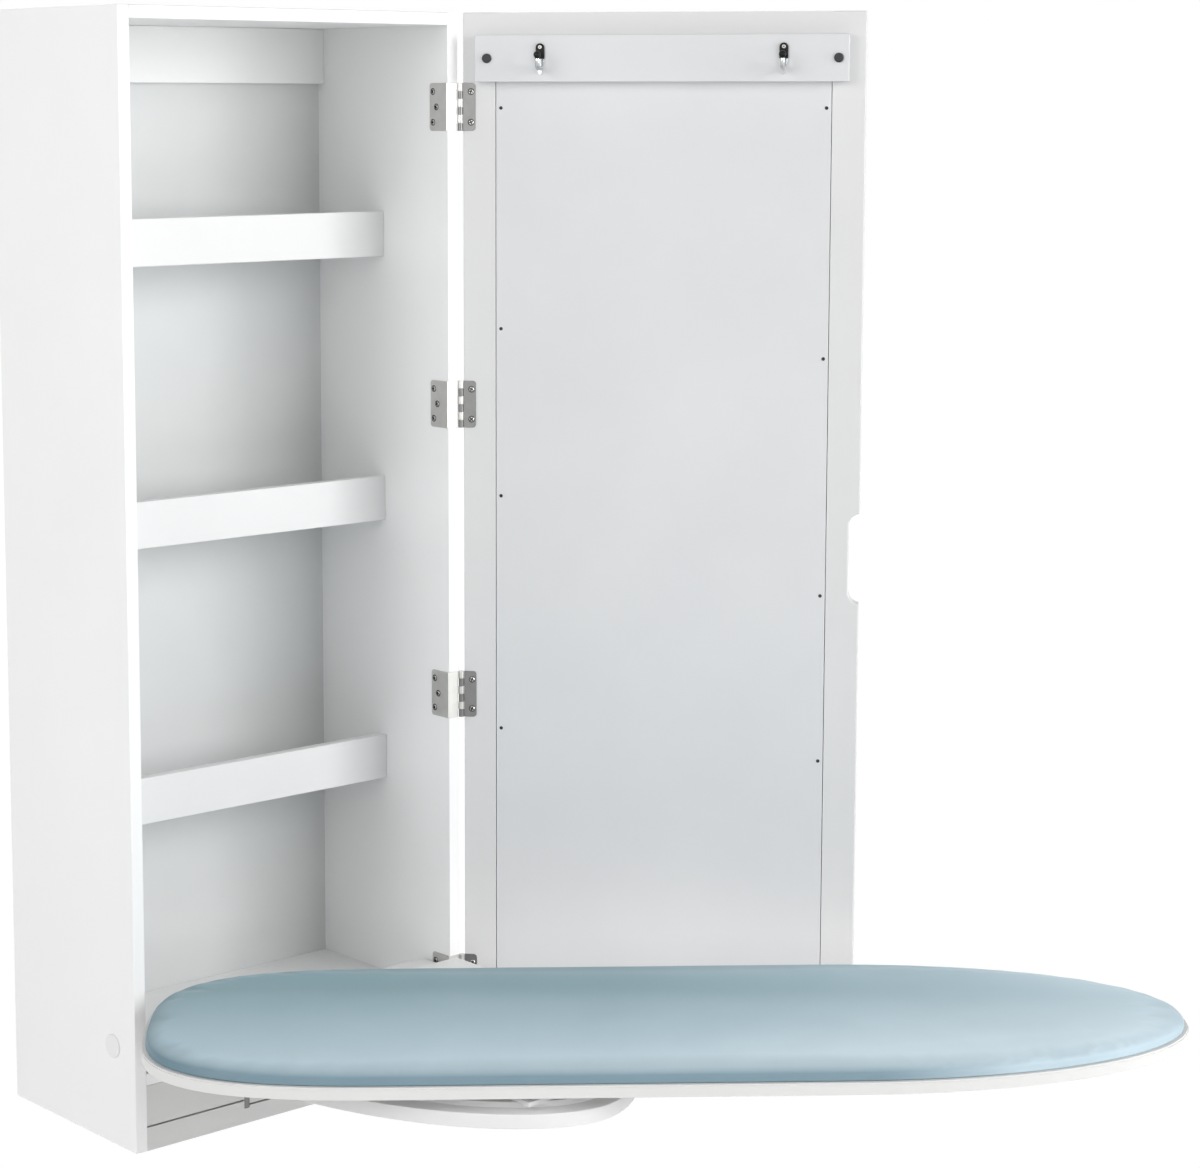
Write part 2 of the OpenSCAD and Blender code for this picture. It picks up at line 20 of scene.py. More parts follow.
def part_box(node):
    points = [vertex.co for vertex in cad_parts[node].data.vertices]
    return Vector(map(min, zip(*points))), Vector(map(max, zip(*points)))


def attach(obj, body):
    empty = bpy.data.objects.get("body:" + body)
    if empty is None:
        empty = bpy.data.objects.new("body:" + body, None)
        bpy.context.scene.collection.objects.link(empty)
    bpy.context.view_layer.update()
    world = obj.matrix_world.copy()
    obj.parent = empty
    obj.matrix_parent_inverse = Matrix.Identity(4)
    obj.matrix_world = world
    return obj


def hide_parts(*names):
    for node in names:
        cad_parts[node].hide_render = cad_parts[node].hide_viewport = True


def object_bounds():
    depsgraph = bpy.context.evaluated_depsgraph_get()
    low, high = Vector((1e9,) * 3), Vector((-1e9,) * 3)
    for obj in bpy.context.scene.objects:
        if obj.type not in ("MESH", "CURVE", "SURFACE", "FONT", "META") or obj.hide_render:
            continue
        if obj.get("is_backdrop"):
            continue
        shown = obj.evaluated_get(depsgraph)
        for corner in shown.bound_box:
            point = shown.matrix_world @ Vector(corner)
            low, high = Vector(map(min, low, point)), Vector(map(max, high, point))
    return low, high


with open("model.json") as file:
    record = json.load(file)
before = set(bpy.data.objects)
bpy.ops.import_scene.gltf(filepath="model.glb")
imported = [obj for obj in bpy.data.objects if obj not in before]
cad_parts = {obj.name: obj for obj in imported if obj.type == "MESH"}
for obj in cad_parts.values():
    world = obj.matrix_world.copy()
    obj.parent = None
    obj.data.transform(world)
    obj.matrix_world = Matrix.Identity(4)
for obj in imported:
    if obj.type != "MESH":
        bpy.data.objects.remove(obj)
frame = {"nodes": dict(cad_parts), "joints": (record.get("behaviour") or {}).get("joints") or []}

Material = bpy.types.Material
Mesh = bpy.types.Mesh
Node = bpy.types.Node
Piece = bpy.types.Object
Socket = bpy.types.NodeSocket
Tree = bpy.types.NodeTree

log = logging.getLogger("cabinet")

MM = 0.001
WELD = 1e-5
EASED_ANGLE = math.radians(35)
FLAT_ANGLE = math.radians(0.3)
SAME_SPOT = 1e-3
ON_AXIS = 1e-6
NO_LENGTH = 1e-9
# Places of the sockets on a Mix node that mixes colours.
MIX_SHARE, MIX_UNDER, MIX_OVER, MIX_RESULT = 0, 6, 7, 2
# Length of one band of the Wave texture at scale 1.
WAVE_BAND = math.pi / 10.0
WEAVE_MAP = "cloth"
# UV map that carries the cover's painted light and shade.
PAINTED_SHADING_MAP = "lie"


class Body(Enum):
    """The four bodies that the joints move."""

    CABINET = "cabinet"
    DOOR = "door"
    LEAF = "leaf"
    BOARD = "board"


class Slot(Enum):
    """The record's material slots."""

    LACQUER = "white_lacquer"
    LAMINATE = "back_board"
    CAP = "plastic_cap"
    NICKEL = "nickel_steel"
    CHROME = "chrome_hook"
    RUBBER = "black_rubber"
    MIRROR = "mirror_glass"
    COVER = "board_cover"


# ---- materials ---------------------------------------------------------------


def linear(code: str, alpha: float = 1.0) -> tuple[float, float, float, float]:
    """Turns an sRGB hex colour to linear light.

    Args:
        code: six hex digits, with or without a leading #.
        alpha: the fourth value of the result.

    Returns:
        Linear red, green, blue and alpha.
    """
    digits = code.lstrip("#")
    values = [int(digits[i:i + 2], 16) / 255 for i in (0, 2, 4)]
    light = [v / 12.92 if v <= 0.04045 else ((v + 0.055) / 1.055) ** 2.4 for v in values]
    return (light[0], light[1], light[2], alpha)


def add_node(
    tree: Tree,
    kind: str,
    inputs: dict[Any, Any] | None = None,
    links: dict[Any, Socket] | None = None,
    stops: tuple[tuple[float, str], ...] = (),
    **settings: Any,
) -> Node:
    """Adds one node with its settings, values and incoming links.

    Args:
        tree: the shader or geometry tree.
        kind: the node's type name.
        inputs: values by socket name or index.
        links: source sockets by socket name or index.
        stops: places and hex colours, in order, where the node is a colour ramp.
        **settings: attributes of the node itself.

    Returns:
        The new node.
    """
    node = tree.nodes.new(kind)
    for key, value in settings.items():
        setattr(node, key, value)
    for key, value in (inputs or {}).items():
        node.inputs[key].default_value = value
    for key, source in (links or {}).items():
        tree.links.new(source, node.inputs[key])
    for i, (place, code) in enumerate(stops):
        elements = node.color_ramp.elements
        element = elements[i] if i < len(elements) else elements.new(place)
        element.position = place
        element.color = linear(code)
    return node


def new_shader(name: str) -> tuple[Material, Tree]:
    """Makes an empty node material.

    Args:
        name: the material's name.

    Returns:
        The material and its cleared tree.
    """
    material = bpy.data.materials.new(name)
    material.use_nodes = True
    tree = material.node_tree
    tree.nodes.clear()
    return material, tree


def shown_as_white(tree: Tree) -> Socket:
    """Tells the rays that see the background from those that light the object.

    Args:
        tree: the shader tree.

    Returns:
        A socket that is 1 for camera, glossy and transmission rays and 0 for the rest.
    """
    path = add_node(tree, "ShaderNodeLightPath").outputs
    shown = path["Is Camera Ray"]
    for ray in ("Is Glossy Ray", "Is Transmission Ray"):
        either = add_node(tree, "ShaderNodeMath", links={0: shown, 1: path[ray]}, operation="MAXIMUM")
        shown = either.outputs["Value"]
    return shown


def clamped(value: float) -> float:
    """Holds a value between 0 and 1."""
    return min(1.0, max(0.0, value))


def risen(value: float, start: float, reach: float) -> float:
    """Gives 0 up to start, then an even rise to 1 over reach."""
    return clamped((value - start) / reach)


def per_metre(size_mm: float) -> float:
    """Gives the noise scale at which one feature measures size_mm."""
    return 1000.0 / size_mm


@dataclass(frozen=True)
class Finish:
    """What every finish shares: a name, and a material round one shader."""

    name: str

    def shader(self, tree: Tree) -> Node:
        """Adds the finish's own nodes.

        Args:
            tree: the material's tree.

        Returns:
            The Principled shader node.
        """
        raise NotImplementedError

    def build(self) -> Material:
        """Builds the material.

        Returns:
            The material, ready for its pieces.
        """
        material, tree = new_shader(self.name)
        surface = self.shader(tree).outputs["BSDF"]
        add_node(tree, "ShaderNodeOutputMaterial", links={"Surface": surface})
        return material


@dataclass(frozen=True)
class SprayedLacquer(Finish):
    """White polyurethane lacquer, sprayed on fibreboard and left satin.

    The eye sees a flat, clean white with a soft sheen and a very fine orange peel.
    """

    shade: str
    hollow: str
    roughness: float = 0.42
    gloss_span: tuple[float, float] = (-0.04, 0.05)
    ramp_span: tuple[float, float] = (0.3, 0.7)
    peel_mm: float = 2.6
    cloud_mm: float = 190.0
    peel_depth_mm: float = 0.012

    def shader(self, tree: Tree) -> Node:
        """Adds the finish's own nodes.

        Args:
            tree: the material's tree.

        Returns:
            The Principled shader node.
        """
        place = add_node(tree, "ShaderNodeTexCoord").outputs["Object"]
        cloud = add_node(tree, "ShaderNodeTexNoise", {"Scale": per_metre(self.cloud_mm), "Detail": 3.0},
                         {"Vector": place})
        tone = add_node(tree, "ShaderNodeValToRGB", links={"Fac": cloud.outputs["Fac"]},
                        stops=tuple(zip(self.ramp_span, (self.hollow, self.shade))))
        peel = add_node(tree, "ShaderNodeTexNoise", {"Scale": per_metre(self.peel_mm), "Detail": 2.0},
                        {"Vector": place})
        bump = add_node(tree, "ShaderNodeBump", {"Strength": 0.35, "Distance": self.peel_depth_mm * MM},
                        {"Height": peel.outputs["Fac"]})
        low, high = (self.roughness + change for change in self.gloss_span)
        gloss = add_node(tree, "ShaderNodeMapRange", {"To Min": low, "To Max": high},
                         {"Value": cloud.outputs["Fac"]})
        return add_node(tree, "ShaderNodeBsdfPrincipled", {"IOR": 1.48},
                        {"Base Color": tone.outputs["Color"], "Roughness": gloss.outputs["Result"],
                         "Normal": bump.outputs["Normal"]})


@dataclass(frozen=True)
class PaperLaminate(Finish):
    """Melamine paper laminate on thin hardboard, matt and slightly grey.

    The eye sees a dull off-white with faint fibre clouds and tiny pores.
    """

    shade: str
    hollow: str
    roughness: float = 0.55
    ramp_span: tuple[float, float] = (0.25, 0.75)
    pore_mm: float = 1.1
    pore_depth_mm: float = 0.02
    cloud_mm: float = 120.0

    def shader(self, tree: Tree) -> Node:
        """Adds the finish's own nodes.

        Args:
            tree: the material's tree.

        Returns:
            The Principled shader node.
        """
        place = add_node(tree, "ShaderNodeTexCoord").outputs["Object"]
        cloud = add_node(tree, "ShaderNodeTexNoise", {"Scale": per_metre(self.cloud_mm), "Detail": 5.0},
                         {"Vector": place})
        tone = add_node(tree, "ShaderNodeValToRGB", links={"Fac": cloud.outputs["Fac"]},
                        stops=tuple(zip(self.ramp_span, (self.hollow, self.shade))))
        pores = add_node(tree, "ShaderNodeTexVoronoi", {"Scale": per_metre(self.pore_mm)}, {"Vector": place})
        bump = add_node(tree, "ShaderNodeBump", {"Strength": 0.2, "Distance": self.pore_depth_mm * MM},
                        {"Height": pores.outputs["Distance"]})
        return add_node(tree, "ShaderNodeBsdfPrincipled", {"Roughness": self.roughness, "IOR": 1.5},
                        {"Base Color": tone.outputs["Color"], "Normal": bump.outputs["Normal"]})


@dataclass(frozen=True)
class PlatedSteel(Finish):
    """Pressed steel with a thin bright plate, rolled or polished before plating.

    The eye sees a warm or cool grey metal with fine rolling lines and small stains.
    """

    shade: str
    stain: str
    roughness: float
    gloss_span: tuple[float, float] = (-0.06, 0.1)
    ramp_span: tuple[float, float] = (0.3, 0.7)
    line_mm: float = 0.5
    line_stretch: float = 0.06
    stain_mm: float = 9.0
    line_depth_mm: float = 0.006

    def shader(self, tree: Tree) -> Node:
        """Adds the finish's own nodes.

        Args:
            tree: the material's tree.

        Returns:
            The Principled shader node.
        """
        place = add_node(tree, "ShaderNodeTexCoord").outputs["Object"]
        stretch = add_node(tree, "ShaderNodeMapping", {"Scale": (1.0, 1.0, self.line_stretch)},
                           {"Vector": place})
        lines = add_node(tree, "ShaderNodeTexNoise", {"Scale": per_metre(self.line_mm), "Detail": 3.0},
                         {"Vector": stretch.outputs["Vector"]})
        stains = add_node(tree, "ShaderNodeTexNoise", {"Scale": per_metre(self.stain_mm), "Detail": 4.0},
                          {"Vector": place})
        tone = add_node(tree, "ShaderNodeValToRGB", links={"Fac": stains.outputs["Fac"]},
                        stops=tuple(zip(self.ramp_span, (self.stain, self.shade))))
        low, high = (self.roughness + change for change in self.gloss_span)
        gloss = add_node(tree, "ShaderNodeMapRange", {"To Min": low, "To Max": high},
                         {"Value": lines.outputs["Fac"]})
        bump = add_node(tree, "ShaderNodeBump", {"Strength": 0.25, "Distance": self.line_depth_mm * MM},
                        {"Height": lines.outputs["Fac"]})
        return add_node(tree, "ShaderNodeBsdfPrincipled", {"Metallic": 1.0},
                        {"Base Color": tone.outputs["Color"], "Roughness": gloss.outputs["Result"],
                         "Normal": bump.outputs["Normal"]})


@dataclass(frozen=True)
class MouldedPlastic(Finish):
    """Injection-moulded polypropylene or rubber with a fine spark-eroded grain.

    The eye sees a dull, even colour that turns softly bright at its edges.
    """

    shade: str
    roughness: float
    gloss_span: tuple[float, float] = (-0.05, 0.05)
    grain_mm: float = 0.6
    grain_depth_mm: float = 0.02

    def shader(self, tree: Tree) -> Node:
        """Adds the finish's own nodes.

        Args:
            tree: the material's tree.

        Returns:
            The Principled shader node.
        """
        place = add_node(tree, "ShaderNodeTexCoord").outputs["Object"]
        grain = add_node(tree, "ShaderNodeTexNoise", {"Scale": per_metre(self.grain_mm), "Detail": 2.0},
                         {"Vector": place})
        bump = add_node(tree, "ShaderNodeBump", {"Strength": 0.3, "Distance": self.grain_depth_mm * MM},
                        {"Height": grain.outputs["Fac"]})
        low, high = (self.roughness + change for change in self.gloss_span)
        gloss = add_node(tree, "ShaderNodeMapRange", {"To Min": low, "To Max": high},
                         {"Value": grain.outputs["Fac"]})
        return add_node(tree, "ShaderNodeBsdfPrincipled", {"Base Color": linear(self.shade), "IOR": 1.49},
                        {"Roughness": gloss.outputs["Result"], "Normal": bump.outputs["Normal"]})


@dataclass(frozen=True)
class SilveredGlass(Finish):
    """Float glass silvered on its back, seen as one mirror surface.

    The eye sees a clear reflection with a faint green-grey tint.
    """

    shade: str = "DDE3E1"
    roughness: float = 0.015
    haze_mm: float = 60.0

    def shader(self, tree: Tree) -> Node:
        """Adds the finish's own nodes.

        Args:
            tree: the material's tree.

        Returns:
            The Principled shader node.
        """
        place = add_node(tree, "ShaderNodeTexCoord").outputs["Object"]
        haze = add_node(tree, "ShaderNodeTexNoise", {"Scale": per_metre(self.haze_mm), "Detail": 2.0},
                        {"Vector": place})
        gloss = add_node(tree, "ShaderNodeMapRange",
                         {"To Min": self.roughness, "To Max": self.roughness * 2},
                         {"Value": haze.outputs["Fac"]})
        return add_node(tree, "ShaderNodeBsdfPrincipled",
                        {"Base Color": linear(self.shade), "Metallic": 1.0},
                        {"Roughness": gloss.outputs["Result"]})


@dataclass(frozen=True)
class WovenCover(Finish):
    """Cotton cover with a metallised finish, woven plain and pulled tight.

    The eye sees a pale blue-grey cloth with a fine weave and a slight silky sheen.
    Its colour also carries painted light and shade: lighter towards the nose and the
    near side, with a painted sheen in the lightest tone, deeper towards the far side,
    and painted shade on the side wall. Real threads sit 0.35 mm apart, and are drawn
    at thread_mm so that they show.
    """

    # Colours of painted shade, a half-lit tone, painted light with a painted sheen, the weave gaps' own
    # tone, and painted shade on the side wall.
    shaded_tone: str
    half_lit_tone: str
    along: str
    gap: str
    painted_wall_shade: str
    sheen: str = "E6F1F6"
    half_lit_at: float = 0.44
    weave_share: float = 0.16
    thread_mm: float = 1.0
    cloud_mm: float = 70.0
    roughness: float = 0.52
    weave_depth_mm: float = 0.05

    def shader(self, tree: Tree) -> Node:
        """Adds the finish's own nodes.

        Args:
            tree: the material's tree.

        Returns:
            The Principled shader node.
        """
        cloth = add_node(tree, "ShaderNodeUVMap", uv_map=WEAVE_MAP).outputs["UV"]
        wave_scale = WAVE_BAND / (self.thread_mm * MM)
        threads = [
            add_node(tree, "ShaderNodeTexWave", {"Scale": wave_scale, "Distortion": 0.6, "Detail": 1.0},
                     {"Vector": cloth}, wave_type="BANDS", bands_direction=direction)
            for direction in ("X", "Y")
        ]
        weave = add_node(tree, "ShaderNodeMath", operation="MULTIPLY",
                         links={i: thread.outputs["Fac"] for i, thread in enumerate(threads)})
        cloud = add_node(tree, "ShaderNodeTexNoise", {"Scale": per_metre(self.cloud_mm), "Detail": 5.0},
                         {"Vector": cloth})
        mixed = add_node(tree, "ShaderNodeMath", {1: self.weave_share}, {0: weave.outputs["Value"]},
                         operation="MULTIPLY")
        grey = add_node(tree, "ShaderNodeMath", links={0: mixed.outputs["Value"], 1: cloud.outputs["Fac"]},
                        operation="ADD")
        # The ramp paints light and shade by the map's first share, from the shaded tone to the lit tone.
        lie = add_node(tree, "ShaderNodeUVMap", uv_map=PAINTED_SHADING_MAP).outputs["UV"]
        share = add_node(tree, "ShaderNodeSeparateXYZ", links={"Vector": lie})
        painted_light = add_node(tree, "ShaderNodeValToRGB", links={"Fac": share.outputs["X"]},
                       stops=((0.0, self.shaded_tone), (self.half_lit_at, self.half_lit_tone), (1.0, self.along)))
        tone = painted_light.outputs["Color"]
        # The first mix darkens the weave's gaps, the second paints shade on the side wall.
        for amount, weave_gap_and_wall_shade in ((grey.outputs["Value"], self.gap), (share.outputs["Y"], self.painted_wall_shade)):
            multiplied = add_node(tree, "ShaderNodeMix", {MIX_OVER: linear(weave_gap_and_wall_shade)},
                            {MIX_SHARE: amount, MIX_UNDER: tone}, data_type="RGBA", blend_type="MULTIPLY")
            tone = multiplied.outputs[MIX_RESULT]
        bump = add_node(tree, "ShaderNodeBump", {"Strength": 0.5, "Distance": self.weave_depth_mm * MM},
                        {"Height": weave.outputs["Value"]})
        return add_node(tree, "ShaderNodeBsdfPrincipled",
                        {"Roughness": self.roughness, "Sheen Weight": 0.25, "Sheen Roughness": 0.4,
                         "Sheen Tint": linear(self.sheen), "IOR": 1.5},
                        {"Base Color": tone, "Normal": bump.outputs["Normal"]})


def coat(finish: Finish) -> Any:
    """Makes a dataclass field that builds the finish's material."""
    return field(default_factory=finish.build)


@dataclass
class Finishes:
    """Every finish of the object, built once and shared by its pieces."""

    carcass: Material = coat(SprayedLacquer("lacquered_fibreboard", "F7F7F7", "F4F4F4"))
    # A greyer copy of the white lacquer for the shelves and shelf bars inside the cabinet: painted shade.
    inner: Material = coat(SprayedLacquer("lacquered_fibreboard_inner_painted_shade", "ECECEC", "E8E8E8"))
    # A greyer copy of the white lacquer for the apron and base rail under the board: painted shade.
    kick_painted_shade: Material = coat(SprayedLacquer("lacquered_kick_boards_painted_shade", "D4D4D3", "D1D1D0"))
    door_paint: Material = coat(SprayedLacquer("lacquered_door_frame", "DCDCDC", "D9D9D9"))
    door_back: Material = coat(PaperLaminate("laminated_door_back", "DADBDC", "D5D6D8"))
    board_paint: Material = coat(SprayedLacquer("lacquered_board_edge", "E2E2E1", "DEDEDD"))
    # A greyer copy of the white lacquer for the leaf, spacer and hinge blocks under the board: painted
    # shade.
    leaf_painted_shade: Material = coat(SprayedLacquer("lacquered_leaf_painted_shade", "ECECEC", "E8E8E8"))
    laminate: Material = coat(PaperLaminate("laminated_hardboard", "DFE1E1", "D9DBDB"))
    cap: Material = coat(MouldedPlastic("moulded_white_cap", "EDEDED", 0.45))
    nickel: Material = coat(PlatedSteel("satin_nickel_plate", "CFCECB", "C7C6C3", 0.34))
    dull_nickel: Material = coat(PlatedSteel("dull_nickel_plate", "80807F", "787877", 0.38))
    screw: Material = coat(PlatedSteel("nickel_plated_screw", "C2C1BE", "B6B5B2", 0.24))
    chrome: Material = coat(PlatedSteel("bright_chrome_plate", "D2D4D5", "B9BBBD", 0.14))
    # Near-black steel that paints the reflection of dim surroundings on the hooks' upper halves, and the
    # shade in screw recesses.
    painted_shade_and_reflection: Material = coat(PlatedSteel("painted_shade_and_black_reflection", "2C2C2C", "202020", 0.36))
    zinc: Material = coat(PlatedSteel("zinc_plated_sheet", "A7A9A9", "8E9192", 0.42))
    dark_screw: Material = coat(PlatedSteel("blackened_screw", "4A4A4A", "2E2E2E", 0.4))
    rubber: Material = coat(MouldedPlastic("black_rubber", "26282A", 0.6))
    mirror: Material = coat(SilveredGlass("silvered_float_glass"))
    # The cover's colours: painted shade, half-lit tone, painted light with a painted sheen, the weave gaps'
    # own tone, painted shade on the side wall.
    cover: Material = coat(WovenCover(
        "woven_cotton_cover", "7E9FA9", "B0CBD6", "DDEFF8", "EEF1F3", "93A3A9"))


# ---- mesh helpers ------------------------------------------------------------


def new_object(name: str, mesh: Mesh) -> Piece:
    """Links a mesh to the scene as a new object at the origin.

    Args:
        name: the piece's name.
        mesh: its mesh, already in place.

    Returns:
        The new object.
    """
    piece = bpy.data.objects.new(name, mesh)
    bpy.context.scene.collection.objects.link(piece)
    return piece


def settled(piece: Piece) -> Piece:
    """Turns a piece's modifiers into its plain mesh.

    Args:
        piece: an object with modifiers.

    Returns:
        The same object, with its evaluated mesh and no modifiers.
    """
    graph = bpy.context.evaluated_depsgraph_get()
    mesh = bpy.data.meshes.new_from_object(piece.evaluated_get(graph))
    piece.modifiers.clear()
    piece.data = mesh
    mesh.name = piece.name
    return piece


def assign(piece: Piece, material: Material, body: Body) -> None:
    """Gives a finished piece its material and body.

    Args:
        piece: the finished object.
        material: its only material.
        body: the body that it rides on.
    """
    piece.data.materials.clear()
    piece.data.materials.append(material)
    place_on(piece, body)


def place_on(piece: Piece, body: Body) -> None:
    """Puts a finished piece on its body.

    Args:
        piece: the finished object, with its materials.
        body: the body that it rides on.
    """
    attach(piece, body.value)
    log.info("%s: %d faces on %s", piece.name, len(piece.data.polygons), body.value)


def merged_copy(node: str) -> bmesh.types.BMesh:
    """Copies a CAD node's mesh with its doubles merged and its flats dissolved.

    Args:
        node: the CAD node's name.

    Returns:
        A bmesh that the caller frees.
    """
    made = bmesh.new()
    made.from_mesh(frame["nodes"][node].data)
    bmesh.ops.remove_doubles(made, verts=made.verts, dist=WELD)
    bmesh.ops.dissolve_limit(made, angle_limit=FLAT_ANGLE, verts=made.verts, edges=made.edges)
    return made


def eased(
    node: str,
    material: Material,
    body: Body,
    ease_mm: float = 0.8,
    steps: int = 2,
    joint: Callable[[Vector], bool] | None = None,
    cut: float | None = None,
) -> Piece:
    """Stands a copy with rounded edges for a CAD node.

    Args:
        node: the CAD node's name.
        material: the finish.
        body: the body that it rides on.
        ease_mm: radius of the eased edges.
        steps: faces across an eased edge.
        joint: tells the points of a glued joint, whose edges stay sharp.
        cut: a height at which the faces are split, where the finish changes.

    Returns:
        The new piece.
    """
    made = merged_copy(node)
    if cut is not None:
        whole = made.verts[:] + made.edges[:] + made.faces[:]
        bmesh.ops.bisect_plane(made, geom=whole, plane_co=(0, 0, cut), plane_no=(0, 0, 1))
    weights = made.edges.layers.float.new("bevel_weight_edge")
    for edge in made.edges:
        glued = joint is not None and all(joint(v.co) for v in edge.verts)
        sharp = len(edge.link_faces) == 2 and edge.calc_face_angle(0.0) > EASED_ANGLE
        edge[weights] = 1.0 if sharp and not glued else 0.0
        edge.smooth = not (sharp and glued)
    mesh = bpy.data.meshes.new(f"{node}_eased")
    made.to_mesh(mesh)
    made.free()
    for face in mesh.polygons:
        face.use_smooth = True
    piece = new_object(f"{node}_eased", mesh)
    bevel = piece.modifiers.new("ease", "BEVEL")
    bevel.width = ease_mm * MM
    bevel.segments = steps
    bevel.limit_method = "WEIGHT"
    shading = piece.modifiers.new("shading", "WEIGHTED_NORMAL")
    shading.weight = 100
    shading.keep_sharp = True
    settled(piece)
    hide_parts(node)
    assign(piece, material, body)
    return piece


def solid_centres(node: str) -> list[Vector]:
    """Finds the middle of each separate solid in a CAD node.

    Args:
        node: the CAD node's name.

    Returns:
        One centre for each solid, sorted by height.
    """
    made = merged_copy(node)
    left = set(made.verts)
    centres = []
    while left:
        stack = [left.pop()]
        group = list(stack)
        while stack:
            for edge in stack.pop().link_edges:
                for vert in edge.verts:
                    if vert in left:
                        left.remove(vert)
                        stack.append(vert)
                        group.append(vert)
        low = Vector([min(v.co[i] for v in group) for i in range(3)])
        high = Vector([max(v.co[i] for v in group) for i in range(3)])
        centres.append((low + high) / 2)
    made.free()
    return sorted(centres, key=lambda c: (c.z, c.x))


# ---- screws ------------------------------------------------------------------


